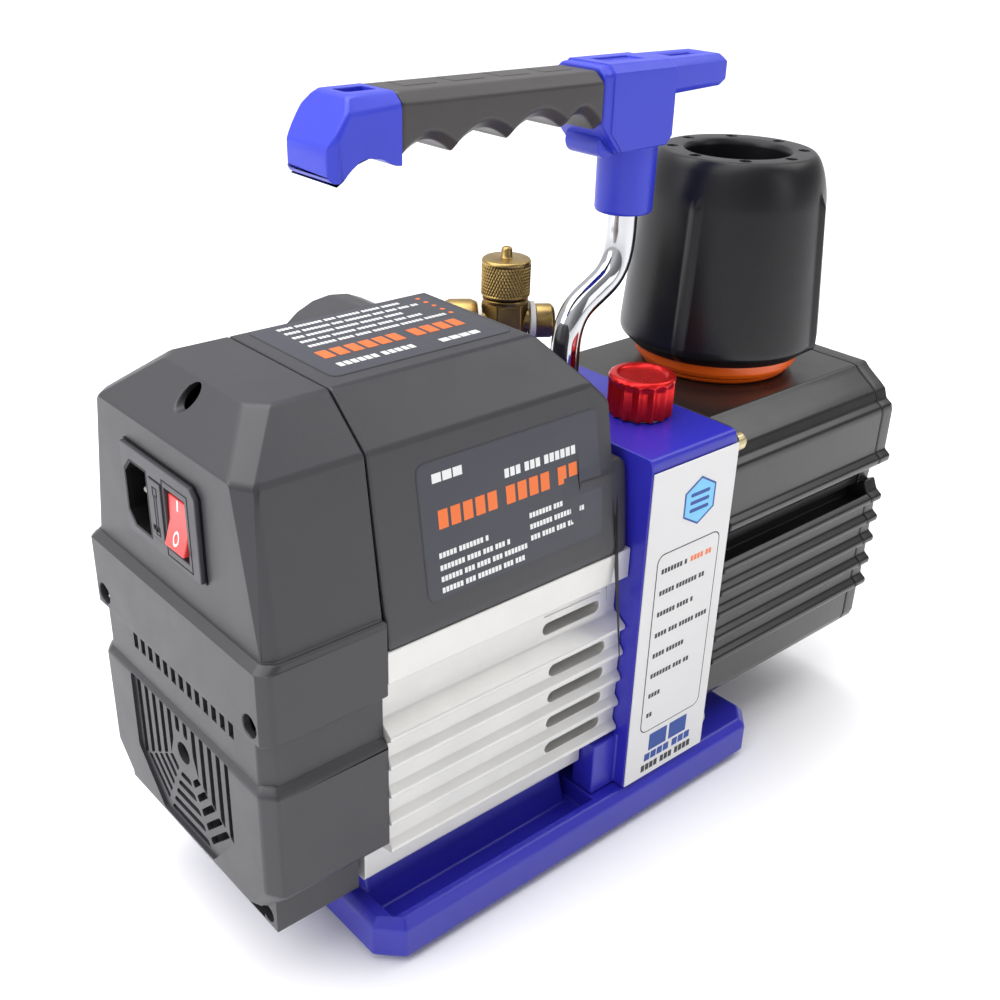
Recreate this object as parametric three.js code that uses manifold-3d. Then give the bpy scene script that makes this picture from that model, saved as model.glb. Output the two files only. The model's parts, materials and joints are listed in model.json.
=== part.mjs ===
// Two-stage rotary vane vacuum pump with a brushless motor, a finned oil tank and a carrying handle.
// Millimetres, +Z up. The motor is at -X, the oil tank at +X, and the pump stands on Z = 0.
import * as THREE from 'three';
import { ConvexGeometry } from 'three/addons/geometries/ConvexGeometry.js';
import { mergeVertices } from 'three/addons/utils/BufferGeometryUtils.js';
import Module from 'manifold-3d';

const wasm = await Module();
wasm.setup();

// ---- driving dimensions ----
const GAP = 0.3;              // clearance between touching pieces
const OVER = 1;               // how far a cutting tool runs past a face
const AXIS_Z = 80;            // height of the motor and pump axis
const REAR_X = -168.6;        // face of the fan cover
const FRONT_X = 168.6;        // front of the oil tank
const SEAM_X = -120;          // where the rear covers meet the motor housing
const BRACKET_X = [-3, 46];   // the cast bracket between motor and tank
const BASE_HALF = 70;
const BASE_X = [-129, 86];
const BASE_Z = [3.5, 20.7];
const SKIN = 2.6;             // wall of the plastic covers
const COVER_TOP = 219.6;
const COVER_LOW = 135.5;      // lower edge of the control cover
const PARTING_Z = 117;        // fan cover below, rear cover above
const BRACKET_TOP = 174.2;
const TANK_TOP = 169;
const TANK_X = [52.3, 160];
const FLANGE_X = [BRACKET_X[1] + GAP, TANK_X[0] - GAP];
const SHAFT_R = 6;
const FILTER_X = 112;
const KNOB = { x: 27, y: -32 };
const INLET = { x: 22, y: 45, turn: -35 };
const GAUGE = { x: -53.5, z: 181.5, r: 29.3, y: [52, 66] };
const DRAIN = { z: 48, thread: 5, seat: 163.4, boss: 150 };
const ROD_R = 6;
const HEAD_X = 43;            // axis of the handle's collar
const GRIP_Z = [281, 303.2];
const HEAD_TOP = 305;         // highest point of the pump
const GRIP_X = [-77, 14];

// ---- materials ----
function finish(color, roughness, metalness) {
  return new THREE.MeshStandardMaterial({ color, roughness, metalness });
}
const DARK_PLASTIC = finish(0x46464a, 0.6, 0);
const BLACK_PLASTIC = finish(0x2c2c30, 0.45, 0);
const RUBBER = finish(0x4a4646, 0.8, 0);
const SILVER = finish(0xd8d8d6, 0.45, 0.8);
const BLUE = finish(0x3a3cc0, 0.4, 0.1);
const BLACK_METAL = finish(0x2a2928, 0.4, 0.6);
const STEEL = finish(0xb4b6b8, 0.35, 0.9);
const CAST_IRON = finish(0x5a5a5c, 0.6, 0.7);
const CHROME = finish(0xe6e6e8, 0.08, 1);
const BRASS = finish(0xa0803c, 0.35, 0.9);
const COPPER = finish(0xb46a3c, 0.4, 0.9);
const RED_PLASTIC = finish(0xd02820, 0.3, 0);
const RED_METAL = finish(0xc81420, 0.25, 0.9);
const ORANGE = finish(0xf06018, 0.4, 0);
const WHITE = finish(0xe8e8e6, 0.5, 0);
const GLASS = finish(0xd0e4e8, 0.05, 0);
const BOARD = finish(0x1c6a3c, 0.5, 0);
const SEAL = finish(0x1c1c1e, 0.8, 0);

const pump = new THREE.Group();

// ---- turning geometry into closed solids and back ----
function welded(geometry) {
  const bare = geometry.index ? geometry.toNonIndexed() : geometry.clone();
  bare.deleteAttribute('normal');
  bare.deleteAttribute('uv');
  const merged = mergeVertices(bare, 1e-3);
  const index = merged.index.array;
  const kept = [];
  for (let i = 0; i < index.length; i += 3) {
    const [a, b, c] = [index[i], index[i + 1], index[i + 2]];
    if (a !== b && b !== c && a !== c) {
      kept.push(a, b, c);
    }
  }
  merged.setIndex(kept);
  return signedVolume(merged) < 0 ? flipped(merged) : merged;
}

function signedVolume(geometry) {
  const position = geometry.attributes.position;
  const index = geometry.index.array;
  const corners = [new THREE.Vector3(), new THREE.Vector3(), new THREE.Vector3()];
  let volume = 0;
  for (let i = 0; i < index.length; i += 3) {
    corners.forEach((corner, k) => corner.fromBufferAttribute(position, index[i + k]));
    volume += corners[0].dot(corners[1].clone().cross(corners[2])) / 6;
  }
  return volume;
}

function flipped(geometry) {
  const index = Array.from(geometry.index.array);
  for (let i = 0; i < index.length; i += 3) {
    [index[i], index[i + 1]] = [index[i + 1], index[i]];
  }
  geometry.setIndex(index);
  return geometry;
}

function solid(geometry) {
  const closed = welded(geometry);
  const vertProperties = new Float32Array(closed.attributes.position.array);
  const triVerts = new Uint32Array(closed.index.array);
  return new wasm.Manifold(new wasm.Mesh({ numProp: 3, vertProperties, triVerts }));
}

function surface(manifold) {
  const mesh = manifold.getMesh();
  const geometry = new THREE.BufferGeometry();
  geometry.setAttribute('position', new THREE.BufferAttribute(new Float32Array(mesh.vertProperties), 3));
  geometry.setIndex(Array.from(mesh.triVerts));
  return geometry;
}

function join(...geometries) {
  return surface(geometries.map(solid).reduce((whole, piece) => whole.add(piece)));
}

function cut(body, ...tools) {
  return surface(tools.map(solid).reduce((whole, tool) => whole.subtract(tool), solid(body)));
}

function common(first, second) {
  return surface(solid(first).intersect(solid(second)));
}

function add(name, geometry, material) {
  const mesh = new THREE.Mesh(welded(geometry), material);
  mesh.geometry.computeVertexNormals();
  mesh.name = name;
  pump.add(mesh);
  return mesh;
}

// ---- basic shapes ----
function box(x, y, z) {
  const geometry = new THREE.BoxGeometry(x[1] - x[0], y[1] - y[0], z[1] - z[0]);
  return geometry.translate((x[0] + x[1]) / 2, (y[0] + y[1]) / 2, (z[0] + z[1]) / 2);
}

function outline(points) {
  return new THREE.Shape(points.map(([a, b]) => new THREE.Vector2(a, b)));
}

function extruded(shape, depth, curveSegments = 6) {
  return new THREE.ExtrudeGeometry(shape, { depth, bevelEnabled: false, curveSegments });
}

// An outline in (Y, Z) run along X.
function alongX(points, x) {
  const axes = new THREE.Matrix4().set(0, 0, 1, x[0], 1, 0, 0, 0, 0, 1, 0, 0, 0, 0, 0, 1);
  return extruded(outline(points), x[1] - x[0]).applyMatrix4(axes);
}

// An outline in (X, Z) run along Y.
function alongY(points, y) {
  const axes = new THREE.Matrix4().set(1, 0, 0, 0, 0, 0, -1, y[1], 0, 1, 0, 0, 0, 0, 0, 1);
  return extruded(outline(points), y[1] - y[0]).applyMatrix4(axes);
}

// An outline in (X, Y) run along Z.
function alongZ(points, z) {
  return extruded(outline(points), z[1] - z[0]).translate(0, 0, z[0]);
}

// Profiles of (radius, distance along the axis), turned about an axis parallel to X, Y or Z.
function lathe(profile, sides) {
  return new THREE.LatheGeometry(profile.map(([r, h]) => new THREE.Vector2(r, h)), sides);
}
function turnX(profile, y, z, sides = 24) {
  return lathe(profile, sides).rotateZ(-Math.PI / 2).translate(0, y, z);
}
function turnY(profile, x, z, sides = 24) {
  return lathe(profile, sides).translate(x, 0, z);
}
function turnZ(profile, x, y, sides = 24) {
  return lathe(profile, sides).rotateX(Math.PI / 2).translate(x, y, 0);
}

// A solid round bar, or with an inner radius a ring, as a profile.
function bar(radius, span) {
  return [[0, span[0]], [radius, span[0]], [radius, span[1]], [0, span[1]]];
}
function ring(inner, outer, span) {
  return [[inner, span[0]], [outer, span[0]], [outer, span[1]], [inner, span[1]], [inner, span[0]]];
}

// The half outline on +Y and its mirror image on -Y, as one closed outline.
function mirrored(half) {
  return [...half, ...half.map(([y, z]) => [-y, z]).reverse()];
}

function hull(points) {
  return new ConvexGeometry(points.map(([x, y, z]) => new THREE.Vector3(x, y, z)));
}

// Points given for +Y, with their mirror images.
function mirroredHull(points) {
  return hull([...points, ...points.map(([x, y, z]) => [x, -y, z])]);
}

// A slot with round ends in (X, Z), cut through along Y.
function slotY(x, z, width, y) {
  const shape = new THREE.Shape();
  shape.absarc(x[1] - width / 2, z, width / 2, -Math.PI / 2, Math.PI / 2, false);
  shape.absarc(x[0] + width / 2, z, width / 2, Math.PI / 2, 1.5 * Math.PI, false);
  const axes = new THREE.Matrix4().set(1, 0, 0, 0, 0, 0, -1, y[1], 0, 1, 0, 0, 0, 0, 0, 1);
  return extruded(shape, y[1] - y[0], 4).applyMatrix4(axes);
}

// ---- base and feet ----
const RIM = 3.2;              // slope at the top of the base's outer wall
const CORNER = 9;             // chamfer of the base's upright corners

function baseOutline(inset, z) {
  const x0 = BASE_X[0] + inset;
  const x1 = BASE_X[1] - inset;
  const half = BASE_HALF - inset;
  const corner = CORNER - inset * 0.6;
  return [[x0, half - corner, z], [x0 + corner, half, z], [x1 - corner, half, z], [x1, half - corner, z]];
}

function makeBase() {
  const wallTop = BASE_Z[1] - RIM - 0.3;
  const slab = mirroredHull([
    ...baseOutline(0.8, BASE_Z[0]), ...baseOutline(0, BASE_Z[0] + 0.8),
    ...baseOutline(0, wallTop), ...baseOutline(RIM, BASE_Z[1]),
  ]);
  const floor = 12;
  const channelX = [BASE_X[0] + 7.5, BRACKET_X[0] - 14];
  const channelEnd = 9;
  const channel = alongX(mirrored([[64.5, BASE_Z[1] + OVER], [61.2, floor]]), channelX);
  const pad = alongX(mirrored([[50.4, floor - OVER], [50.4, floor], [44, 33.7]]), [channelX[0], -20]);
  const underside = box([BASE_X[0] + 12, BASE_X[1] - 12], [-40, 40], [BASE_Z[0] - OVER, channelEnd]);
  add('base_plate', join(cut(slab, channel, underside), pad), BLUE);
}

function makeFeet() {
  let number = 1;
  for (const x of [-112, 68]) {
    for (const y of [-58, 58]) {
      const profile = [[0, 0], [7, 0], [8, 1], [8, BASE_Z[0] - GAP], [0, BASE_Z[0] - GAP]];
      add(`foot_${number}`, turnZ(profile, x, y, 20), RUBBER);
      number += 1;
    }
  }
}

// ---- motor ----
const HOUSING_X = [SEAM_X + GAP, BRACKET_X[0] - GAP];
const BORE_R = 43;
const VENT_Z = [109.7, 93.2, 80.9, 68.7, 56.2];
const RIB_Z = [87.2, 74.7, 62.3, 49.8];

function housingHalf() {
  const ribs = RIB_Z.flatMap((z) => [[59, z + 3.6], [61.4, z + 0.9], [61.4, z - 0.9], [59.4, z - 1.8]]);
  return [
    [40, 34], [53.2, 34], [54.4, 35.5], [54.4, 47],
    ...ribs.reverse(),
    [59, 97.2], [61.4, 98.6], [61.4, 100.4], [55, 104.6], [54.4, 106.2],
    [54.4, 118.4], [60.4, 122.4], [60.4, 135.2], [40, 135.2],
  ];
}

function makeHousing() {
  const shell = alongX(mirrored(housingHalf()), HOUSING_X);
  const bore = turnX(bar(BORE_R, [HOUSING_X[0] - OVER, HOUSING_X[1] + OVER]), 0, AXIS_Z);
  const wires = box([-95, -55], [-16, 16], [AXIS_Z, 140]);
  const vents = VENT_Z.map((z) => slotY([-42.5, -12], z, 5.2, [-70, 70]));
  const thinSlot = [box([-42, -12], [54, 70], [115.4, 116.4]), box([-42, -12], [-70, -54], [115.4, 116.4])];
  const spigot = alongX(mirrored([[40, 34], [53.2, 34], [54.4, 35.5], [54.4, 47], [48, 47], [44, 41]]),
    [-127, HOUSING_X[0] + OVER]);
  const toe = box([-17, HOUSING_X[1] + OVER], [-70, 70], [30, 47]);
  add('motor_housing', join(cut(shell, bore, wires, toe, ...vents, ...thinSlot), spigot), SILVER);
}

const ROTOR_X = [-102, -50];

function makeMotor() {
  const poles = 12;
  const core = new THREE.Shape();
  core.absarc(0, 0, BORE_R - GAP, 0, 2 * Math.PI, false);
  const inner = new THREE.Path();
  for (let i = 0; i < poles; i += 1) {
    const middle = (i / poles) * 2 * Math.PI;
    const tooth = 0.16;
    for (const [angle, radius] of [[-0.26 + tooth / 2, 37], [-tooth, 37], [-tooth, 27.5], [tooth, 27.5],
      [tooth, 37]]) {
      const turn = middle + angle;
      const move = i === 0 && inner.curves.length === 0 && angle < -tooth ? 'moveTo' : 'lineTo';
      inner[move](radius * Math.cos(turn), radius * Math.sin(turn));
    }
  }
  inner.closePath();
  core.holes.push(inner);
  const axes = new THREE.Matrix4().set(0, 0, 1, ROTOR_X[0], 1, 0, 0, 0, 0, 1, 0, AXIS_Z, 0, 0, 0, 1);
  const stack = new THREE.ExtrudeGeometry(core, {
    depth: ROTOR_X[1] - ROTOR_X[0], bevelEnabled: false, curveSegments: 12,
  });
  add('stator_core', stack.applyMatrix4(axes), STEEL);

  const coilEnd = [[28, 0], [40.5, 0], [41.5, 2], [40, 9], [30, 9], [28, 0]];
  const rearCoil = coilEnd.map(([r, x]) => [r, ROTOR_X[0] - GAP - x]);
  const frontCoil = coilEnd.map(([r, x]) => [r, ROTOR_X[1] + GAP + x]);
  add('winding_rear', turnX(rearCoil, 0, AXIS_Z), COPPER);
  add('winding_front', turnX(frontCoil, 0, AXIS_Z), COPPER);

  const magnetRotor = ring(SHAFT_R + GAP, 26.8, [ROTOR_X[0] + 1, ROTOR_X[1] - 1]);
  add('motor_rotor', turnX(magnetRotor, 0, AXIS_Z), CAST_IRON);

  const shieldX = [-118, -113];
  const shield = [[15.3, shieldX[0] - 3], [19, shieldX[0] - 3], [19, shieldX[0]], [BORE_R - GAP, shieldX[0]],
    [BORE_R - GAP, shieldX[1]], [15.3, shieldX[1]], [15.3, shieldX[0] - 3]];
  const slots = [0, 1, 2, 3, 4, 5].map((i) => {
    const slot = box([shieldX[0] - OVER, shieldX[1] + OVER], [-6, 6], [24, 37]);
    return slot.rotateX((i * Math.PI) / 3).translate(0, 0, AXIS_Z);
  });
  add('motor_end_shield', cut(turnX(shield, 0, AXIS_Z), ...slots), SILVER);

  add('rear_bearing', turnX(ring(SHAFT_R + GAP, 15, [-120.5, -113.3]), 0, AXIS_Z), STEEL);
  add('front_bearing', turnX(ring(SHAFT_R + GAP, 15, [4.7, 13.7]), 0, AXIS_Z), STEEL);
}

const FAN_X = [-147, -131];

function makeFan() {
  const hub = turnX(ring(SHAFT_R + GAP, 13, FAN_X), 0, AXIS_Z, 24);
  const blades = 7;
  const vanes = Array.from({ length: blades }, (_, i) => {
    const blade = new THREE.BoxGeometry(17, 1.8, 32);
    blade.rotateZ(0.62).translate((FAN_X[0] + FAN_X[1]) / 2, 0, 12 + 16);
    return blade.rotateX((i * 2 * Math.PI) / blades).translate(0, 0, AXIS_Z);
  });
  const trimmed = vanes.map((blade) => common(blade, turnX(ring(11.5, 42, [FAN_X[0] - 1, FAN_X[1] + 1]),
    0, AXIS_Z)));
  add('cooling_fan', join(hub, ...trimmed), BLACK_PLASTIC);
}

// ---- plastic covers ----
function slopedBox(inset, x1) {
  const d = inset;
  return mirroredHull([
    [-164.5 + d, 43.7 - d, 204.3 - d * 0.4], [-147.3 + d * 0.4, 25, COVER_TOP - d],
    [-141 + d * 0.4, 31 - d * 0.4, COVER_TOP - d], [x1, 31 - d * 0.4, COVER_TOP - d],
    [-159.5 + d, 49.7 - d, 203.5 - d * 0.4], [x1, 49.7 - d, 203.5 - d * 0.4],
    [-164.5 + d, 56 - d, 144], [-160.3 + d, 60.2 - d, 134], [x1, 60.2 - d, 134], [-164.5 + d, 56 - d, 134],
  ]);
}

function bandOutline(x0, half, bevel) {
  return [[SEAM_X, half], [x0 + bevel, half], [x0, half - bevel], [x0, bevel - half], [x0 + bevel, -half],
    [SEAM_X, -half]];
}

const MODULE = { y: 25, z: [161.9, 194.9], rim: 1.9 };

function makeRearCover() {
  const upper = slopedBox(0, SEAM_X);
  const band = alongZ(bandOutline(-168, 60.4, 3.4), [PARTING_Z + GAP, 145]);
  const ledge = mirroredHull([
    [-168, 57, 144.9], [-164.6, 60.4, 144.9], [SEAM_X, 60.4, 144.9],
    [-165, 56, 147.5], [-161, 60, 147.5], [SEAM_X, 60, 147.5],
  ]);
  const inside = slopedBox(SKIN, SEAM_X + OVER);
  const bandInside = box([-165.2, SEAM_X + OVER], [-57.8, 57.8], [PARTING_Z - OVER, 142]);
  const window = box([-172, -158], [-MODULE.y + 2, MODULE.y - 2], [MODULE.z[0] + 2, MODULE.z[1] - 2]);
  const topScrew = turnX(bar(4, [-175, -140]), 0, 214.6, 20);
  const sideScrews = [-51.5, 51.5].map((y) => turnX(bar(4.2, [-175, -160]), y, 123, 20));
  add('rear_cover', cut(join(upper, band, ledge), inside, bandInside, window, topScrew, ...sideScrews),
    DARK_PLASTIC);
}

const GRILLE = { z: AXIS_Z, recess: 1.3, pitch: 5.8, slot: 2.9 };

function sector(points) {
  return alongX(points.map(([y, z]) => [y, z + GRILLE.z]), [REAR_X - OVER, REAR_X + 6]);
}

function makeGrille() {
  const x = [REAR_X - 2 * OVER, REAR_X + 5];
  const uprights = [];
  const level = [];
  const slanted = [];
  for (let i = 0; i < 6; i += 1) {
    const y = GRILLE.pitch * (i + 0.5);
    for (const side of [-1, 1]) {
      uprights.push(box(x, [side * y - GRILLE.slot / 2, side * y + GRILLE.slot / 2], [50, 95]));
    }
  }
  for (let i = 0; i < 5; i += 1) {
    const distance = 10.5 + 5.2 * i;
    level.push(box(x, [-22, 22], [GRILLE.z - distance - 1.4, GRILLE.z - distance + 1.4]));
    for (const side of [-1, 1]) {
      const slot = box(x, [-40, 40], [-distance - 2.6, -distance]);
      slanted.push(slot.rotateX(side * 0.75).translate(0, 0, GRILLE.z));
    }
  }
  const top = sector([[-33.6, -20], [-33.6, 15], [33.6, 15], [33.6, -20], [3, -1.6], [-3, -1.6]]);
  const corner = [[33.4, -22], [17.4, -35], [4.2, -8.4], [7.2, -6.4]];
  const bottom = sector([[-14.8, -34], [14.8, -34], [3.2, -9], [-3.2, -9]]);
  const open = common(join(...uprights), top);
  const levelSlots = common(join(...level), bottom);
  const farCorner = common(join(...slanted.filter((_, i) => i % 2 === 1)), sector(corner));
  const nearCorner = common(join(...slanted.filter((_, i) => i % 2 === 0)),
    sector(corner.map(([y, z]) => [-y, z])));
  const hubGuard = turnX(ring(4.4, 8.4, [REAR_X - 3, REAR_X + 8]), 0, GRILLE.z, 24);
  const hubHole = turnX(bar(4.4, x), 0, GRILLE.z, 20);
  const slots = cut(join(open, levelSlots, farCorner, nearCorner), hubGuard);
  return join(slots, hubHole);
}

// Fan cover: a grilled lower housing with a set-back neck and a row of small vents in it.
const NECK_X = REAR_X + 1.8;
const VENTS = { count: 13, first: 31, pitch: 5.65, width: 3.4, z: [109.2, 115.4] };

function makeFanCover() {
  const faceHalf = 55;
  const sideHalf = 60.2;
  const top = 99.6;
  const bevelBack = REAR_X + 4.2;
  const outer = [[sideHalf, top - 3], [sideHalf, 53], [46, 38.6]];
  const face = [[faceHalf, top - 3], [faceHalf, 54.5], [43, 42]];
  const housing = mirroredHull([
    ...face.map(([y, z]) => [REAR_X, y, z]), ...outer.map(([y, z]) => [bevelBack, y, z]),
    ...outer.map(([y, z]) => [SEAM_X, y, z]),
    [REAR_X + 2.4, faceHalf - 2, top], [bevelBack + 1, 57, top], [SEAM_X, 57, top],
  ]);
  const neck = alongZ(bandOutline(NECK_X, 57.2, 4.6), [top - 2, PARTING_Z]);
  const lower = alongX(mirrored([[54.5, 58], [54.5, 33.5], [52, 31.5]]), [-164.6, -130]);
  const strip = box([-130, SEAM_X + OVER], [-70, 70], [20, 48.5]);
  const lowerTrim = hull([[-175, -60, 25], [-175, 60, 25], [-175, -60, 37], [-175, 60, 37],
    [-160.5, -60, 25], [-160.5, 60, 25], [-166, -60, 37], [-166, 60, 37]]);
  const inside = alongX(mirrored([[57.4, 97], [57.4, 54.6], [48, 44.5], [46, 34.3]]),
    [REAR_X + 3.6, SEAM_X + OVER]);
  const neckInside = box([NECK_X + SKIN, SEAM_X + OVER], [-54.4, 54.4], [90, PARTING_Z + OVER]);
  const vents = Array.from({ length: VENTS.count }, (_, i) => {
    const y = VENTS.first - i * VENTS.pitch;
    return box([NECK_X - OVER, NECK_X + 6], [y - VENTS.width / 2, y + VENTS.width / 2], VENTS.z);
  });
  const recess = alongX(mirrored([[35.6, GRILLE.z + 16.6], [35.6, GRILLE.z - 17], [18.4, GRILLE.z - 36.6]]),
    [REAR_X - OVER, REAR_X + GRILLE.recess]);
  const lowScrews = [-49, 49].map((y) => turnX(bar(3.4, [-175, -156]), y, 38.6, 16));
  const shell = cut(join(housing, neck, lower), strip, lowerTrim, inside, neckInside, recess, makeGrille(),
    ...vents, ...lowScrews);
  add('fan_cover', shell, DARK_PLASTIC);
}

// Control cover: a sloped roof over the motor, with a low nose that ends over the bracket's edge.
const NOSE_X = BRACKET_X[0] - GAP;

function controlShell(d, z0, x0) {
  const roof = mirroredHull([
    [x0, 31 - d * 0.4, COVER_TOP - d], [-33 - d, 31 - d * 0.4, COVER_TOP - d],
    [x0, 49.9 - d, 203.5 - d * 0.4], [-20 - d, 49.9 - d, 203.5 - d * 0.4],
    [x0, 60.4 - d, 140], [-12 - d, 60.4 - d, 140], [x0, 60.4 - d, z0], [-12 - d, 60.4 - d, z0],
    [-12.4 - d, 51.1 - d, 196 - d * 0.4], [-12 - d, 55.1 - d, 172],
  ]);
  const nose = mirroredHull([
    [-30, 54 - d, 172.4 - d], [NOSE_X - 3.2 - d, 54 - d, 172.4 - d], [NOSE_X - d, 54 - d, 169.6 - d],
    [-30, 56.4 - d, 169 - d], [NOSE_X - 3.2 - d, 56.4 - d, 168 - d],
    [-30, 60.4 - d, z0], [NOSE_X - 2.6 - d, 60.4 - d, z0], [NOSE_X - d, 57 - d, z0],
  ]);
  return join(roof, nose);
}

function makeControlCover() {
  const outside = controlShell(0, COVER_LOW, SEAM_X + 0.6);
  const inside = controlShell(SKIN, COVER_LOW - OVER, SEAM_X - OVER);
  const gaugeWell = turnY(ring(GAUGE.r + 0.4, GAUGE.r + 2.4, [40, GAUGE.y[1] + 1]), GAUGE.x, GAUGE.z);
  const gaugeBore = turnY(bar(GAUGE.r + 0.4, [40, 80]), GAUGE.x, GAUGE.z);
  const shell = join(cut(outside, inside), gaugeWell);
  add('control_cover', cut(shell, gaugeBore), DARK_PLASTIC);
}

// ---- inlet socket, fuse drawer and switch, in one module on the rear face ----
const FACE_X = -164.5;
const SOCKET = { y: [7, 23.4], z: [165, 190] };
const DRAWER = { y: [-3, 5.2], z: [167, 189] };
const ROCKER = { y: [-18.3, -4.6], z: [166.4, 188.6] };

function makePowerModule() {
  const flangeX = [FACE_X - GAP - MODULE.rim, FACE_X - GAP];
  const corner = 3;
  const [z0, z1] = MODULE.z;
  const y1 = MODULE.y;
  const flange = alongX([[-y1, z0], [y1, z0], [y1, z1], [-y1 + corner, z1], [-y1, z1 - corner]], flangeX);
  const body = box([flangeX[0] + 0.5, FACE_X + 24], [-y1 + 2.6, y1 - 2.6], [z0 + 2.6, z1 - 2.6]);
  const [s0, s1] = SOCKET.z;
  const bite = 4.6;
  const socket = alongX([[SOCKET.y[0], s0], [SOCKET.y[1] - bite, s0], [SOCKET.y[1], s0 + bite],
    [SOCKET.y[1], s1 - bite], [SOCKET.y[1] - bite, s1], [SOCKET.y[0], s1]], [-175, FACE_X + 17]);
  const drawerHole = box([-175, FACE_X + 20], DRAWER.y, DRAWER.z);
  const rockerHole = box([-175, FACE_X + 16], ROCKER.y, ROCKER.z);
  const pinZ = (s0 + s1) / 2;
  const blades = [[0, 2.2], [-7, -1.6], [7, -1.6]].map(([dz, dy]) => {
    const y = (SOCKET.y[0] + SOCKET.y[1]) / 2 + dy;
    return box([FACE_X + 5, FACE_X + 18], [y - 2, y + 2], [pinZ + dz - 1, pinZ + dz + 1]);
  });
  const shell = cut(join(flange, body), socket, drawerHole, rockerHole);
  add('power_module', join(shell, ...blades), BLACK_PLASTIC);

  const drawerY = [DRAWER.y[0] + GAP, DRAWER.y[1] - GAP];
  const drawerZ = [DRAWER.z[0] + GAP, DRAWER.z[1] - GAP];
  const drawer = box([flangeX[0] - 0.4, FACE_X + 18], drawerY, drawerZ);
  const fuseBay = box([FACE_X + 3, FACE_X + 16], [drawerY[0] + 1.2, drawerY[1] + 5],
    [drawerZ[0] + 3, drawerZ[1] - 3]);
  const nailNotch = box([-175, FACE_X - 1.2], [0, DRAWER.y[1] + 1], [170, 172]);
  add('fuse_drawer', cut(drawer, fuseBay, nailNotch), BLACK_PLASTIC);
}

const ROCKER_AXIS = { x: FACE_X + 6.3, z: (ROCKER.z[0] + ROCKER.z[1]) / 2 };

function makeRocker() {
  const { x, z } = ROCKER_AXIS;
  const cap = [[-7.2, 9.2], [-7.4, 6], [-7.6, 0], [-9.2, -5.6], [-10.3, -8.6], [-1, -8.4], [4, -3], [5, 0],
    [4, 3], [-1, 9]];
  const points = cap.map(([dx, dz]) => [x + dx, z + dz]);
  add('rocker_switch', alongY(points, [ROCKER.y[0] + 0.5, ROCKER.y[1] - 0.5]), RED_PLASTIC);
}

function makeElectronics() {
  add('circuit_board', box([-108, -52], [-40, 36], [146, 147.6]), BOARD);
}

// ---- cast bracket between the motor and the pump ----
const BRACKET_HALF = 67.8;

function makeBracket() {
  const half = BRACKET_HALF;
  const block = alongX(mirrored([
    [half, 21.2], [half, 168.6], [half - 1, BRACKET_TOP - 1.2], [half - 2.2, BRACKET_TOP],
  ]), BRACKET_X);
  const toes = [-1, 1].map((side) => {
    const y = [side * 50, side * 62].sort((a, b) => a - b);
    return box([BRACKET_X[0] - 13.4, BRACKET_X[0] + OVER], y, [21.2, 46]);
  });
  const motorSide = turnX(bar(40, [BRACKET_X[0] - OVER, 14]), 0, AXIS_Z);
  const pocket = [-1, 1].map((side) => {
    const y = [side * 44, side * 62].sort((a, b) => a - b);
    return box([8, BRACKET_X[1] + OVER], y, [34, 148]);
  });
  const bearingBoss = turnX(ring(15.3, 22, [-2.5, 16]), 0, AXIS_Z);
  const shaftHole = turnX(bar(15.3, [BRACKET_X[0] - OVER, 6.3]), 0, AXIS_Z);
  const throughHole = turnX(bar(SHAFT_R + 1, [0, BRACKET_X[1] + OVER]), 0, AXIS_Z, 20);
  const sealSeat = turnX(bar(11.3, [38, BRACKET_X[1] + OVER]), 0, AXIS_Z, 24);
  const rodHole = turnZ(bar(ROD_R + GAP, [150, BRACKET_TOP + OVER]), 15, 0, 24);
  const ballastHole = turnZ(bar(4.3, [158, BRACKET_TOP + OVER]), KNOB.x, KNOB.y, 16);
  const inletHole = turnZ(bar(8.3, [156, BRACKET_TOP + OVER]), INLET.x, INLET.y, 20);
  const frame = cut(join(block, ...toes), motorSide, ...pocket);
  const holes = [shaftHole, throughHole, sealSeat, rodHole, ballastHole, inletHole];
  add('bracket', cut(join(frame, bearingBoss), ...holes), BLUE);
  add('label_plate', box([BRACKET_X[0], BRACKET_X[1]], [-BRACKET_HALF - GAP - 0.6, -BRACKET_HALF - GAP],
    [22.5, 169.2]), WHITE);
}

// ---- oil tank ----
const TANK_FINS = [106.4, 95.2, 84, 71.9, 60.2];
const TANK_BOTTOM = 34;

function tankHalf(deepGroove) {
  const groove = deepGroove
    ? [[55.4, 117], [55.4, 112], [52, 111.4], [52, 105.4], [62, 105.2]]
    : [[56.6, 119], [56, 113], [59.6, 115]];
  const fins = TANK_FINS.flatMap((z) => [[62, z + 3.4], [65.2, z + 1.3], [65.2, z - 1.3], [62, z - 3]]);
  return [
    [44.2, TANK_TOP], [47, 166.4], [53.4, 162], [56.8, 159.4], [58.4, 155], [61.5, 153.2], [62.4, 150],
    [62.4, 130.8], [65.6, 128.6], [65.2, 125.6], [57.4, 120], ...groove, ...fins,
    [61.2, 54.4], [61.2, 42], [60, 38.4], [55.4, TANK_BOTTOM],
  ];
}

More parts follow.
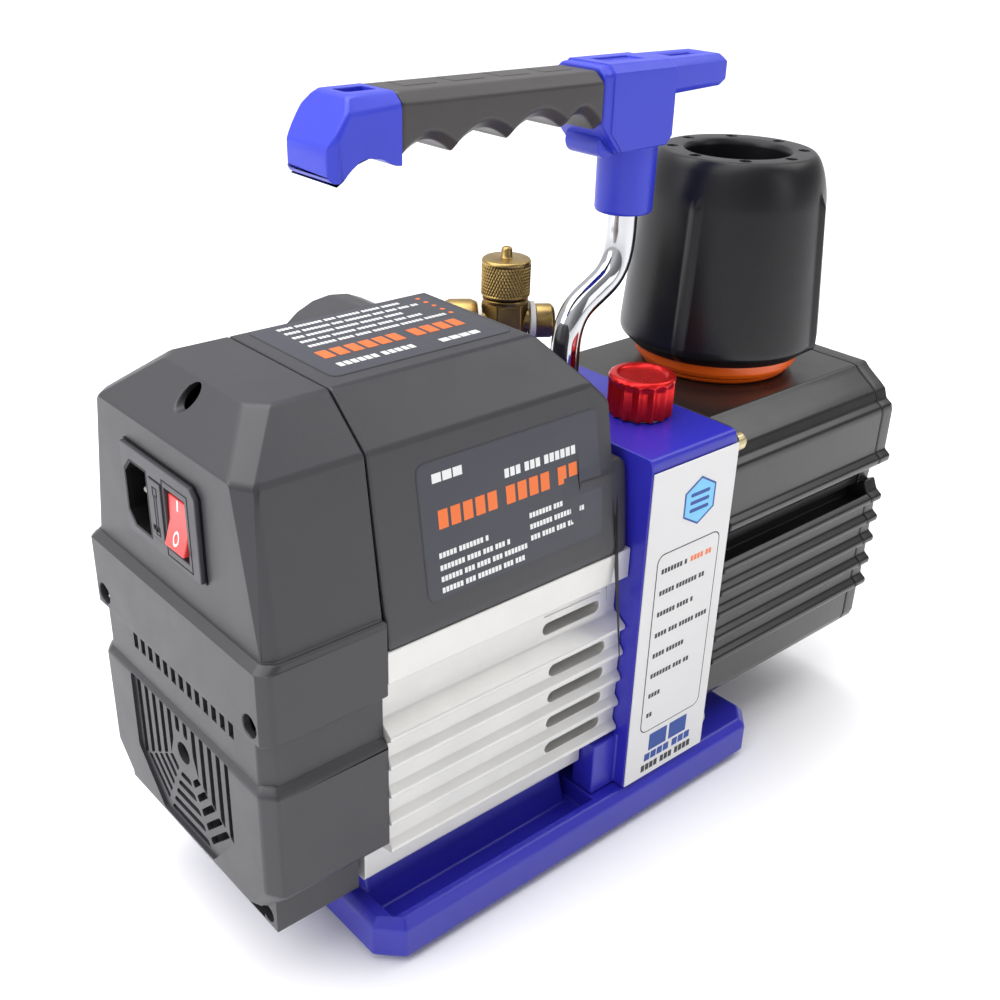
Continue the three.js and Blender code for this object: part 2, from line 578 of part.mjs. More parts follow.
function makeTank() {
  const wall = 5;
  const outer = alongX(mirrored(tankHalf(true)), TANK_X);
  const cavity = alongX(mirrored([[40, TANK_TOP - 6], [48, 155], [50 - wall + 1, 118], [48, 100], [56, 98], [56, 44],
    [50, TANK_BOTTOM + 6]]), [TANK_X[0] - OVER, TANK_X[1] + OVER]);
  const filterHole = turnZ(bar(17.3, [150, TANK_TOP + OVER]), FILTER_X, 0);
  add('oil_tank', cut(outer, cavity, filterHole), BLACK_METAL);

  const flangeHalf = [[60, 171.6], [64.4, 167.5], [64.4, 26], [60, 21.4]];
  const flange = alongX(mirrored(flangeHalf), FLANGE_X);
  const opening = turnX(bar(SHAFT_R + 6, [40, 60]), 0, AXIS_Z, 24);
  add('tank_flange', cut(flange, opening), CAST_IRON);

  let number = 1;
  const boltX = TANK_X[0];
  const head = [[0, boltX], [4, boltX], [4, boltX + 4.4], [2.6, boltX + 6.4], [0, boltX + 6.8]];
  for (const [y, z] of [[60.2, 164.2], [57.6, 26]]) {
    for (const side of [-1, 1]) {
      add(`flange_bolt_${number}`, turnX(head, side * y, z, 12), BRASS);
      number += 1;
    }
  }

  const frontX = [TANK_X[1] + GAP, FRONT_X];
  const plate = alongX(mirrored(tankHalf(false)), frontX);
  const glassHole = turnX(bar(13.3, [TANK_X[1], FRONT_X + OVER]), 0, 92);
  const boss = turnX(bar(7.6, [DRAIN.boss, frontX[0] + OVER]), 0, DRAIN.z, 24);
  const drainHole = turnX(bar(DRAIN.thread + GAP, [DRAIN.boss - OVER, FRONT_X + OVER]), 0, DRAIN.z, 20);
  const drainPocket = turnX(bar(9.8, [DRAIN.seat, FRONT_X + OVER]), 0, DRAIN.z, 24);
  add('tank_front', cut(join(plate, boss), glassHole, drainHole, drainPocket), BLACK_METAL);
  add('sight_glass', turnX(bar(12.9, [TANK_X[1] + 1.5, FRONT_X - 2.6]), 0, 92), GLASS);
  add('sight_glass_ring', turnX(ring(9.6, 12.9, [FRONT_X - 2.3, FRONT_X - 0.2]), 0, 92), STEEL);
}

// ---- pump stages inside the tank ----
const STAGE = { bore: 26, rotor: 22.5, shift: 3.2, blade: 3 };
const STAGE_1 = [68, 100];
const STAGE_2 = [106, 122];

function stageHousing(x) {
  const outer = turnX(bar(36, x), 0, AXIS_Z);
  const bore = turnX(bar(STAGE.bore, [x[0] - OVER, x[1] + OVER]), 0, AXIS_Z - STAGE.shift);
  return cut(outer, bore);
}

function vaneRotor(x) {
  const body = turnX(ring(SHAFT_R + GAP, STAGE.rotor, x), 0, AXIS_Z);
  const slots = [-1, 1].map((side) => {
    const z = side > 0 ? [AXIS_Z + 9, AXIS_Z + 30] : [AXIS_Z - 30, AXIS_Z - 9];
    return box([x[0] - OVER, x[1] + OVER], [-STAGE.blade / 2 - GAP / 2, STAGE.blade / 2 + GAP / 2], z);
  });
  return cut(body, ...slots);
}

function makeStages() {
  add('stage_1_housing', stageHousing(STAGE_1), CAST_IRON);
  const dividingPlate = turnX(ring(SHAFT_R + 0.6, 36, [STAGE_1[1] + GAP, STAGE_2[0]]), 0, AXIS_Z);
  add('stage_2_housing', join(stageHousing(STAGE_2), dividingPlate), CAST_IRON);
  const foot = box([FLANGE_X[1] + GAP, FLANGE_X[1] + 6], [-44, 44], [AXIS_Z - 34, AXIS_Z + 34]);
  const neck = turnX(bar(36, [FLANGE_X[1] + 5, STAGE_1[0] - GAP]), 0, AXIS_Z);
  const shaftWay = turnX(bar(SHAFT_R + 0.6, [40, 80]), 0, AXIS_Z, 20);
  add('pump_front_plate', cut(join(foot, neck), shaftWay), CAST_IRON);
  const endPlateX = [STAGE_2[1] + GAP, STAGE_2[1] + 7];
  add('pump_end_plate', turnX(ring(SHAFT_R + 0.6, 36, endPlateX), 0, AXIS_Z), CAST_IRON);
  let number = 1;
  [STAGE_1, STAGE_2].forEach((span, i) => {
    const x = [span[0] + 0.2, span[1] - 0.2];
    add(`pump_rotor_${i + 1}`, vaneRotor(x), STEEL);
    for (const side of [-1, 1]) {
      const z = side > 0 ? [AXIS_Z + 9 + GAP, AXIS_Z + STAGE.rotor - 0.1]
        : [AXIS_Z - STAGE.rotor + 0.1, AXIS_Z - 9 - GAP];
      add(`vane_${number}`, box(x, [-STAGE.blade / 2 + GAP / 2, STAGE.blade / 2 - GAP / 2], z), SEAL);
      number += 1;
    }
  });
  add('drive_shaft', turnX(bar(SHAFT_R, [FAN_X[0] + 6, STAGE_2[1] + 6]), 0, AXIS_Z, 24), STEEL);
  add('shaft_seal', turnX(ring(SHAFT_R + GAP, 11, [39, BRACKET_X[1]]), 0, AXIS_Z, 24), SEAL);
}

// ---- drain plug ----
function makeDrain() {
  const washerX = [DRAIN.seat + GAP, DRAIN.seat + 1.3];
  const headX = [washerX[1] + GAP, FRONT_X - 0.4];
  add('drain_washer', turnX(ring(DRAIN.thread + GAP, 8, washerX), 0, DRAIN.z, 20), BRASS);
  const thread = turnX(bar(DRAIN.thread, [DRAIN.boss + 2, headX[0] + OVER]), 0, DRAIN.z, 20);
  add('drain_plug', join(thread, turnX(bar(7.8, headX), 0, DRAIN.z, 6)), BRASS);
}

// ---- exhaust filter, which is also the oil filler cap ----
function makeFilter() {
  const orange = [[18, TANK_TOP + GAP], [34.5, TANK_TOP + GAP], [35.5, 171], [34.5, 178.7], [18, 178.7],
    [18, TANK_TOP + GAP]];
  add('filter_ring', turnZ(orange, FILTER_X, 0, 32), ORANGE);
  const body = [[22, 200], [22, 264], [34, 264], [35.4, 262.6], [36.2, 256], [39.2, 248.6], [44.4, 186],
    [44.4, 184.6], [39, 179], [16.9, 179], [16.9, 160], [16, 158], [12, 158], [12, 200], [22, 200]];
  const shell = turnZ(body, FILTER_X, 0, 32);
  const holeCount = 8;
  const holeCircle = 27.8;
  const holes = Array.from({ length: holeCount }, (_, i) => {
    const angle = (i / holeCount) * 2 * Math.PI;
    const x = FILTER_X + holeCircle * Math.cos(angle);
    return turnZ(bar(2.1, [257, 270]), x, holeCircle * Math.sin(angle), 8);
  });
  add('filter_body', cut(shell, ...holes), BLACK_PLASTIC);
}

// ---- gas ballast valve ----
function makeBallast() {
  const flutes = 14;
  const shape = new THREE.Shape();
  const steps = flutes * 4;
  for (let i = 0; i < steps; i += 1) {
    const angle = (i / steps) * 2 * Math.PI;
    const radius = 13.6 - 1.1 * Math.abs(Math.cos((flutes * angle) / 2)) ** 3;
    shape[i ? 'lineTo' : 'moveTo'](radius * Math.cos(angle), radius * Math.sin(angle));
  }
  const knob = extruded(shape, 16.4).translate(KNOB.x, KNOB.y, BRACKET_TOP + 0.6);
  const bore = turnZ(bar(3.3, [150, 184]), KNOB.x, KNOB.y, 16);
  const top = turnZ([[0, 190.4], [12.4, 190.4], [12.4, 191.6], [0, 191.6]], KNOB.x, KNOB.y);
  const dish = turnZ([[0, 189.8], [9.6, 191], [9.6, 195], [0, 195]], KNOB.x, KNOB.y, 24);
  add('ballast_knob', cut(join(knob, top), bore, dish), RED_METAL);
  add('ballast_stem', turnZ(bar(3, [160, 183.6]), KNOB.x, KNOB.y, 16), BRASS);
}

// ---- vacuum inlet with its cap ----
function makeInlet() {
  const { x, y, turn } = INLET;
  const angle = THREE.MathUtils.degToRad(turn);
  const stem = turnZ(bar(8, [158, BRACKET_TOP + 4]), x, y, 20);
  const hex = turnZ(bar(10.4, [BRACKET_TOP + 0.4, 202]), x, y, 6);
  const neck = turnZ([[0, 201], [9.2, 201], [9.2, 203], [7.4, 203.6], [7.4, 216], [0, 216]], x, y, 24);
  const arm = turnX([[0, -26], [5, -26], [5, 18], [0, 18]], 0, 0, 20);
  const collar = turnX([[0, -27], [8, -27], [9.6, -24], [9.6, -15], [8.4, -12], [0, -12]], 0, 0, 24);
  const plug = turnX([[0, 13], [7.4, 13], [7.4, 20], [6, 21.4], [0, 21.4]], 0, 0, 24);
  const arms = [arm, collar, plug].map((part) => part.rotateZ(angle).translate(x, y, 193));
  const bore = turnZ(bar(4.5, [150, 220]), x, y, 16);
  add('inlet_body', cut(join(stem, hex, neck, ...arms), bore), BRASS);
  add('cap_gasket', turnZ(ring(4.8, 7.2, [216.3, 217.3]), x, y, 24), SEAL);
  const cap = turnZ([
    [0, 217.6], [8, 217.6], [8, 204.6], [9.6, 204.6], [10.6, 205.8], [10.6, 219.6], [9.6, 220.8], [2.4, 221.2],
    [2.4, 224.4], [1.6, 225.6], [0, 225.6],
  ], x, y);
  add('inlet_cap', cap, BRASS);
}

// ---- vacuum gauge in the control cover's side ----
function makeGauge() {
  const { x, z, r, y } = GAUGE;
  const rim = r - 1.6;
  const cup = [[0, y[0] - 10], [r, y[0] - 10], [r, y[1]], [rim, y[1]], [rim, y[0] + 6], [0, y[0] + 6]];
  add('gauge_case', turnY(cup, x, z), BLACK_PLASTIC);
  const glassY = [y[1] - 3.4, y[1] - 1.6];
  add('gauge_glass', turnY(bar(r - 2, glassY), x, z), GLASS);
  const angle = THREE.MathUtils.degToRad(315);
  const blade = extruded(outline([[-5, -1], [0, -1.6], [17, -0.3], [17, 0.3], [0, 1.6], [-5, 1]]), 0.8);
  const hub = lathe(bar(2.2, [0, 1.6]), 16).rotateX(Math.PI / 2);
  const needle = join(blade, hub).rotateZ(angle).rotateX(Math.PI / 2).translate(x, y[0] + 8.6, z);
  add('gauge_needle', needle, SEAL);
}

// ---- handle ----
function makeHandle() {
  const curve = new THREE.CurvePath();
  const at = (x, z) => new THREE.Vector3(x, 0, z);
  const low = 192;
  const high = 240;
  const middle = at(29, low + 24);
  const bend = 18;
  curve.add(new THREE.LineCurve3(at(15, 152), at(15, low)));
  curve.add(new THREE.CubicBezierCurve3(at(15, low), at(15, low + bend), at(22, low + 20), middle));
  curve.add(new THREE.CubicBezierCurve3(middle, at(36, low + 28), at(HEAD_X, high - bend), at(HEAD_X, high)));
  curve.add(new THREE.LineCurve3(at(HEAD_X, high), at(HEAD_X, 262)));
  const section = new THREE.Shape();
  const sides = 12;
  for (let i = 0; i < sides; i += 1) {
    const angle = (i / sides) * 2 * Math.PI;
    section[i ? 'lineTo' : 'moveTo'](ROD_R * Math.cos(angle), ROD_R * Math.sin(angle));
  }
  add('handle_rod', new THREE.ExtrudeGeometry(section, { extrudePath: curve, steps: 24 }), CHROME);

  const sleeve = mirroredHull([
    [GRIP_X[1] + GAP, 13.3, 301.8], [GRIP_X[1] + GAP, 10, 304.4], [24, 13.3, 301.8], [24, 10, 304.4],
    [GRIP_X[1] + GAP, 13.3, 284], [24, 13.3, 273.6], [24, 12, 272.8],
  ]);
  const block = mirroredHull([
    [18.8, 13.9, 302.2], [18.8, 10.6, HEAD_TOP], [50.6, 10.6, HEAD_TOP], [52.8, 13.4, 302.2],
    [18.8, 13.9, 281], [25.5, 13.9, 273.4], [50, 13.6, 273.8], [53, 13.4, 276.6],
  ]);
  const stub = mirroredHull([
    [50, 12.4, 302], [50, 9.6, 304.7], [83.5, 8.4, 304.7], [86.6, 10, 302], [86.6, 10, 295], [84, 9.2, 292.6],
    [50, 12.4, 294], [50, 11, 291.6],
  ]);
  const collar = turnZ([[0, 247], [11, 247], [11.6, 248], [11.8, 274], [0, 274]], HEAD_X, 0);
  const rodSocket = turnZ(bar(ROD_R + GAP, [240, 263]), HEAD_X, 0, 24);
  const oval = box([60, 78], [-3, 3], [301, 310]);
  const pocket = box([24, 44], [-5, 5], [304, 310]);
  const lug = turnY(bar(5, [-9, 9]), 22, 276, 20);
  add('handle_head', cut(join(sleeve, block, stub, collar, lug), rodSocket, oval, pocket), BLUE);
}

function makeGrip() {
  const [x0, x1] = GRIP_X;
  const [z0, z1] = GRIP_Z;
  const shape = new THREE.Shape();
  shape.moveTo(x1, z1);
  shape.lineTo(x0, z1);
  shape.lineTo(x0, z0 + 2);
  const scallops = 4;
  const pitch = (x1 - x0 - 5) / scallops;
  for (let i = 0; i < scallops; i += 1) {
    const start = x0 + 3 + i * pitch;
    shape.lineTo(start, z0);
    shape.quadraticCurveTo(start + pitch * 0.5, z0 + 11, start + pitch, z0);
  }
  shape.lineTo(x1, z0 + 1);
  const axes = new THREE.Matrix4().set(1, 0, 0, 0, 0, 0, -1, 14, 0, 1, 0, 0, 0, 0, 0, 1);
  const slab = extruded(shape, 28, 8).applyMatrix4(axes);
  const section = alongX([[-13.6, 270], [13.6, 270], [13.6, 299.8], [9.6, z1], [-9.6, z1], [-13.6, 299.8]],
    [x0 - 5, x1 + 5]);
  add('handle_grip', common(slab, section), RUBBER);
  const joint = x0 - GAP;
  const hook = alongY([
    [joint, z1], [-95, z1], [-104.7, 288.6], [-105.2, 287], [-105, 279.6], [-103.4, 277.3], [-100.3, 278],
    [-97.3, 281], [-93.7, 283.4], [-90.4, 284.2], [-85, 283.4], [-80.4, 280.8], [joint, 280.4],
  ], [-14, 14]);
  const end = mirroredHull([
    [joint, 13.8, 299.8], [joint, 9.6, z1 + 0.1], [joint, 13.8, 270], [-95, 9, z1 + 0.1], [-98, 13.6, 298],
    [-101.5, 13.6, 291], [-101.5, 13.6, 270], [-105.4, 11, 289], [-105.4, 11, 270],
  ]);
  const hole = box([-92, -80], [-4, 4], [298, 310]);
  add('handle_end', cut(common(hook, end), hole), BLUE);
}

makeBase();
makeFeet();
makeHousing();
makeMotor();
makeFan();
makeRearCover();
makeFanCover();
makeControlCover();
makePowerModule();
makeRocker();
makeElectronics();
makeBracket();
makeTank();
makeStages();
makeDrain();
makeFilter();
makeBallast();
makeInlet();
makeGauge();
makeHandle();
makeGrip();

export default pump;
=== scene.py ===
"""Looks of a two-stage rotary vane vacuum pump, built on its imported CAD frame.
The motor points to -X, the oil tank to +X and up is +Z. Shapes are written in millimetres in the CAD's
frame, and scaled to metres as each mesh is made."""

import json
import math
import random

import bmesh
import bpy
import numpy as np
from mathutils import Matrix, Vector
from mathutils.bvhtree import BVHTree

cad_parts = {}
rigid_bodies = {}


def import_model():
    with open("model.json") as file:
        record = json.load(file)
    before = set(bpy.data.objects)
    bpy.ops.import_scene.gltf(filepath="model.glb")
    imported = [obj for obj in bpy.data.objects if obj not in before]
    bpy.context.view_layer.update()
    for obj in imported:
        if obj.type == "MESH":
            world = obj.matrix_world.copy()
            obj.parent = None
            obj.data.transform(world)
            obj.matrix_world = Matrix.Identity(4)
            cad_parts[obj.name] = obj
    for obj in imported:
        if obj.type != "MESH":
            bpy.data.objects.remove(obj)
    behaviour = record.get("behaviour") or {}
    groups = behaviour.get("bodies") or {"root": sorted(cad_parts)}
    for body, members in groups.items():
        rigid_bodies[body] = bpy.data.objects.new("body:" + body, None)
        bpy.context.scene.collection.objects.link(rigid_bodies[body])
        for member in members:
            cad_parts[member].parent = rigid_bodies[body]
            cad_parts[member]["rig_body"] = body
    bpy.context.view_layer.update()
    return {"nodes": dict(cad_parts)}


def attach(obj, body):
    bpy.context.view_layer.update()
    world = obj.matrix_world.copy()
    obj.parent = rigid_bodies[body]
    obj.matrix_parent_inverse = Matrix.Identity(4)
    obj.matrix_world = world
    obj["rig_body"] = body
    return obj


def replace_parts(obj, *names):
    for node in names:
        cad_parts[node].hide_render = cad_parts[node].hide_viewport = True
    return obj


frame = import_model()

MM = 0.001
GAP = 0.3
AXIS_Z = 80.0


# ---- colours and materials ----
def linear(red, green, blue):
    """A linear colour from 0-255 display values."""
    def channel(value):
        value /= 255
        return value / 12.92 if value <= 0.04045 else ((value + 0.055) / 1.055) ** 2.4
    return (channel(red), channel(green), channel(blue), 1.0)


BUMP_DEPTH = 0.0002
COAT_ROUGHNESS = 0.08


def look(name, colour, roughness, metallic=0.0, grain=(900, 0.1), mottle=(25, 0.06), rough_vary=0.06,
         stretch=None, coat=0.0, specular=0.5):
    """A material whose colour, roughness and fine surface all vary by noise.
    grain is (noise scale per metre, bump strength) and mottle is (noise scale, share of brightness)."""
    material = bpy.data.materials.new(name)
    material.use_nodes = True
    nodes, links = material.node_tree.nodes, material.node_tree.links
    shader = nodes["Principled BSDF"]
    shader.inputs["Metallic"].default_value = metallic
    shader.inputs["Specular IOR Level"].default_value = specular
    if coat:
        shader.inputs["Coat Weight"].default_value = coat
        shader.inputs["Coat Roughness"].default_value = COAT_ROUGHNESS
    where = nodes.new("ShaderNodeTexCoord")
    mapping = nodes.new("ShaderNodeMapping")
    mapping.inputs["Scale"].default_value = stretch or (1, 1, 1)
    links.new(where.outputs["Object"], mapping.inputs["Vector"])

    def noise(scale, detail):
        node = nodes.new("ShaderNodeTexNoise")
        node.inputs["Scale"].default_value = scale
        node.inputs["Detail"].default_value = detail
        links.new(mapping.outputs["Vector"], node.inputs["Vector"])
        return node.outputs["Fac"]

    soft = noise(mottle[0], 4)
    ramp = nodes.new("ShaderNodeValToRGB")
    for stop, factor, at in ((0, 1 - mottle[1], 0.3), (1, 1 + mottle[1], 0.7)):
        ramp.color_ramp.elements[stop].position = at
        ramp.color_ramp.elements[stop].color = tuple(min(1.0, c * factor) for c in colour[:3]) + (1,)
    links.new(soft, ramp.inputs["Fac"])
    links.new(ramp.outputs["Color"], shader.inputs["Base Color"])
    spread = nodes.new("ShaderNodeMapRange")
    spread.inputs["To Min"].default_value = max(0.02, roughness - rough_vary)
    spread.inputs["To Max"].default_value = roughness + rough_vary
    links.new(noise(mottle[0] * 6, 3), spread.inputs["Value"])
    links.new(spread.outputs["Result"], shader.inputs["Roughness"])
    bump = nodes.new("ShaderNodeBump")
    bump.inputs["Strength"].default_value = grain[1]
    bump.inputs["Distance"].default_value = BUMP_DEPTH
    links.new(noise(grain[0], 3), bump.inputs["Height"])
    links.new(bump.outputs["Normal"], shader.inputs["Normal"])
    return material


DARK_PLASTIC = look("dark_plastic", linear(52, 51, 55), 0.4, grain=(2200, 0.25), mottle=(14, 0.05))
BLACK_PLASTIC = look("black_plastic", linear(44, 44, 47), 0.45, grain=(2000, 0.2))
MODULE_PLASTIC = look("module_plastic", linear(62, 61, 66), 0.42, grain=(2000, 0.15))
# Near-black for painted shade (inside the socket, in the motor's bore, behind the grille and round the
# module's flange) and for the dark seam lines by the rocker and drawer.
SHADE_AND_SEAM_BLACK = look("shade_and_seam_black", linear(7, 7, 8), 0.5, grain=(1800, 0.1), specular=0.25)
PIN_METAL = look("pin_metal", linear(205, 202, 194), 0.3, 0.5, grain=(900, 0.1))
FILTER_BLACK = look("filter_black", linear(19, 19, 22), 0.34, grain=(1500, 0.2), mottle=(18, 0.05),
                    specular=0.35)
GRIP_RUBBER = look("grip_rubber", linear(58, 55, 55), 0.42, grain=(1600, 0.35), mottle=(30, 0.08))
FOOT_RUBBER = look("foot_rubber", linear(30, 30, 32), 0.75, grain=(900, 0.4))
SILVER = look("silver_aluminium", linear(214, 213, 210), 0.42, 0.45, grain=(1500, 0.3), mottle=(40, 0.04))
BLUE_PAINT = look("blue_paint", linear(40, 38, 170), 0.4, grain=(1100, 0.25), mottle=(20, 0.06), coat=0.15)
HANDLE_BLUE = look("handle_blue", linear(44, 56, 196), 0.38, grain=(1800, 0.25), mottle=(22, 0.05))
BLACK_METAL = look("black_metal", linear(34, 33, 32), 0.3, 0.0, grain=(700, 0.12), mottle=(16, 0.1), coat=0.1)
STEEL = look("steel", linear(178, 178, 180), 0.32, 1.0, grain=(700, 0.15))
CAST_IRON = look("cast_iron", linear(92, 91, 90), 0.45, 0.8, grain=(600, 0.35))
FLANGE = look("flange_metal", linear(70, 69, 68), 0.4, 0.3, grain=(700, 0.2))
CHROME = look("chrome", linear(196, 197, 200), 0.09, 1.0, grain=(300, 0.02), rough_vary=0.02)
BRASS = look("brass", linear(168, 142, 88), 0.34, 1.0, grain=(900, 0.15), mottle=(120, 0.22), rough_vary=0.12)
BOLT_BRASS = look("bolt_brass", linear(205, 190, 150), 0.35, 0.9, grain=(900, 0.15))
COPPER = look("copper", linear(190, 110, 65), 0.35, 1.0, grain=(500, 0.5), stretch=(6, 1, 1))
ROCKER_RED = look("rocker_red", linear(222, 52, 50), 0.3, grain=(1800, 0.08), coat=0.3)
KNOB_RED = look("knob_red", linear(222, 30, 30), 0.26, 0.65, grain=(600, 0.08), rough_vary=0.05)
ORANGE = look("orange_ring", linear(255, 104, 18), 0.3, grain=(1500, 0.12))
LABEL_WHITE = look("label_white", linear(218, 217, 217), 0.45, grain=(900, 0.05), mottle=(20, 0.02))
LABEL_GREY = look("label_grey", linear(54, 55, 65), 0.36, grain=(1200, 0.08), mottle=(20, 0.04))
INK_WHITE = look("ink_white", linear(232, 232, 232), 0.5, grain=(1200, 0.05), mottle=(60, 0.03))
INK_ORANGE = look("ink_orange", linear(236, 116, 48), 0.5, grain=(1200, 0.05), mottle=(60, 0.03))
INK_BLUE = look("ink_blue", linear(22, 66, 150), 0.5, grain=(1200, 0.05), mottle=(60, 0.05))
INK_PALE = look("ink_pale", linear(120, 195, 236), 0.5, grain=(1200, 0.05), mottle=(60, 0.05))
INK_BLACK = look("ink_black", linear(36, 36, 40), 0.5, grain=(1200, 0.05), mottle=(60, 0.05))
PAPER_EDGE = look("label_edge", linear(52, 53, 60), 0.5, grain=(1200, 0.05))
TAPE_WHITE = look("tape_white", linear(235, 233, 228), 0.6, grain=(700, 0.4))
BOARD = look("circuit_board", linear(28, 104, 60), 0.4, grain=(400, 0.2))
SEAL = look("seal_rubber", linear(30, 30, 32), 0.7, grain=(900, 0.3))
CARBON = look("vane_carbon", linear(34, 34, 36), 0.5, grain=(900, 0.3))


def glass(name, colour):
    """A clear material with faint marks on it."""
    material = look(name, colour, 0.04, rough_vary=0.02, grain=(200, 0.01))
    shader = material.node_tree.nodes["Principled BSDF"]
    shader.inputs["Transmission Weight"].default_value = 0.9
    shader.inputs["IOR"].default_value = 1.49
    return material


GLASS = glass("clear_glass", linear(225, 238, 240))


# ---- mesh helpers ----
def new_object(name, mesh, material, body):
    """A piece from a bmesh in millimetres."""
    bmesh.ops.recalc_face_normals(mesh, faces=mesh.faces)
    bmesh.ops.scale(mesh, vec=(MM, MM, MM), verts=mesh.verts)
    data = bpy.data.meshes.new(name)
    mesh.to_mesh(data)
    mesh.free()
    piece = bpy.data.objects.new(name, data)
    bpy.context.scene.collection.objects.link(piece)
    data.materials.append(material)
    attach(piece, body)
    return piece


def baked(piece):
    """Applies a piece's modifiers."""
    bpy.context.view_layer.update()
    graph = bpy.context.evaluated_depsgraph_get()
    data = bpy.data.meshes.new_from_object(piece.evaluated_get(graph), depsgraph=graph)
    piece.modifiers.clear()
    piece.data = data
    return piece


def smooth(piece, angle=40):
    """Smooth shading that stays sharp over edges above an angle, with flat faces kept flat."""
    piece.data.shade_smooth()
    piece.data.set_sharp_from_angle(angle=math.radians(angle))
    weighted = piece.modifiers.new("weighted", "WEIGHTED_NORMAL")
    weighted.keep_sharp = True
    return piece


def distance_to_segments(points, starts, ends):
    """The shortest distance from any of the points to any of the segments."""
    along = ends - starts
    length = np.maximum((along ** 2).sum(1), 1e-18)
    offset = points[:, None, :] - starts[None, :, :]
    t = np.clip((offset * along[None]).sum(2) / length[None], 0, 1)
    return np.linalg.norm(offset - t[..., None] * along[None], axis=2).min()


def room_beside(edge, face):
    """How far a face reaches from one of its edges before it meets another edge."""
    others = [e for e in face.edges if not set(e.verts) & set(edge.verts)]
    beside = [e for e in face.edges if e is not edge and set(e.verts) & set(edge.verts)]
    room = min(e.calc_length() for e in beside)
    if others:
        a, b = (np.array(v.co) for v in edge.verts)
        points = np.array([a + (b - a) * t for t in (0.05, 0.3, 0.5, 0.7, 0.95)])
        starts = np.array([e.verts[0].co for e in others])
        ends = np.array([e.verts[1].co for e in others])
        room = min(room, distance_to_segments(points, starts, ends))
    return room


def rounded_edges(piece, width, segments=2, angle=28):
    """Bevels sharp edges, by less where the faces beside them are narrow, then smooths the shading."""
    data = piece.data
    mesh = bmesh.new()
    mesh.from_mesh(data)
    weight = mesh.edges.layers.float.new("bevel_weight_edge")
    limit = math.radians(angle)
    for edge in mesh.edges:
        if len(edge.link_faces) != 2 or edge.calc_face_angle(0) < limit:
            continue
        room = min(edge.calc_length() * 1.5, *(room_beside(edge, face) for face in edge.link_faces))
        edge[weight] = min(1.0, 0.4 * room / (width * MM))
    mesh.to_mesh(data)
    mesh.free()
    bevel = piece.modifiers.new("bevel", "BEVEL")
    bevel.limit_method = "WEIGHT"
    bevel.width = width * MM
    bevel.segments = segments
    bevel.use_clamp_overlap = False
    baked(piece)
    return smooth(piece)


def fine(node, material, bevel, segments=2, angle=28):
    """A copy of a CAD node with merged flat faces and rounded edges, which stands for the node."""
    source = frame["nodes"][node]
    mesh = bmesh.new()
    mesh.from_mesh(source.data)
    bmesh.ops.remove_doubles(mesh, verts=mesh.verts, dist=2e-6)
    bmesh.ops.dissolve_limit(mesh, angle_limit=math.radians(0.6), verts=mesh.verts, edges=mesh.edges)
    bmesh.ops.scale(mesh, vec=(1 / MM,) * 3, verts=mesh.verts)
    piece = new_object(node + "_fine", mesh, material, source["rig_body"])
    rounded_edges(piece, bevel, segments, angle)
    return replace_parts(piece, node)


def dress(node, material):
    """A CAD node kept as it is, with a material."""
    piece = frame["nodes"][node]
    piece.data.materials.clear()
    piece.data.materials.append(material)


def turned(profile, centre, axis="Z", steps=96, radius_at=None):
    """A closed mesh of revolution. profile is (radius, height) from axis to axis, or closed on itself."""
    mesh = bmesh.new()
    rings = []
    for radius, height in profile:
        if radius < 1e-6:
            rings.append([mesh.verts.new((0, 0, height))])
            continue
        ring = []
        for i in range(steps):
            angle = 2 * math.pi * i / steps
            r = radius_at(radius, height, angle) if radius_at else radius
            ring.append(mesh.verts.new((r * math.cos(angle), r * math.sin(angle), height)))
        rings.append(ring)
    closed = profile[0][0] > 1e-6
    pairs = list(zip(rings, rings[1:])) + ([(rings[-1], rings[0])] if closed else [])
    for low, high in pairs:
        if len(low) == 1 and len(high) == 1:
            continue
        for i in range(steps):
            j = (i + 1) % steps
            corners = [low[i % len(low)], low[j % len(low)], high[j % len(high)], high[i % len(high)]]
            unique = list(dict.fromkeys(corners))
            mesh.faces.new(unique)
    if axis == "X":
        bmesh.ops.rotate(mesh, verts=mesh.verts, matrix=Matrix.Rotation(math.pi / 2, 3, "Y"))
    if axis == "Y":
        bmesh.ops.rotate(mesh, verts=mesh.verts, matrix=Matrix.Rotation(-math.pi / 2, 3, "X"))
    bmesh.ops.translate(mesh, vec=centre, verts=mesh.verts)
    return mesh


def eased(profile, radius, steps=3):
    """A profile with its corners rounded to a radius, or to less where a side is short."""
    points = [Vector(p) for p in profile]
    out = [tuple(points[0])]
    for before, corner, after in zip(points, points[1:], points[2:]):
        a, b = before - corner, after - corner
        turn = a.angle(b, math.pi)
        if a.length < 1e-6 or b.length < 1e-6 or turn > math.radians(170):
            out.append(tuple(corner))
            continue
        back = min(radius / math.tan(turn / 2), 0.45 * a.length, 0.45 * b.length)
        start, end = corner + a.normalized() * back, corner + b.normalized() * back
        for i in range(steps + 1):
            t = i / steps
            point = start * (1 - t) ** 2 + corner * 2 * t * (1 - t) + end * t ** 2
            out.append(tuple(point))
    out.append(tuple(points[-1]))
    return out


def lofted(sections):
    """A closed mesh through sections of equal point counts."""
    mesh = bmesh.new()
    rings = [[mesh.verts.new(point) for point in section] for section in sections]
    count = len(rings[0])
    for low, high in zip(rings, rings[1:]):
        for i in range(count):
            j = (i + 1) % count
            mesh.faces.new((low[i], low[j], high[j], high[i]))
    mesh.faces.new(rings[0])
    mesh.faces.new(rings[-1])
    return mesh


def block(low, high):
    """A box between two corners."""
    mesh = bmesh.new()
    bmesh.ops.create_cube(mesh, size=1)
    size = [b - a for a, b in zip(low, high)]
    bmesh.ops.scale(mesh, vec=size, verts=mesh.verts)
    bmesh.ops.translate(mesh, vec=[(a + b) / 2 for a, b in zip(low, high)], verts=mesh.verts)
    return mesh


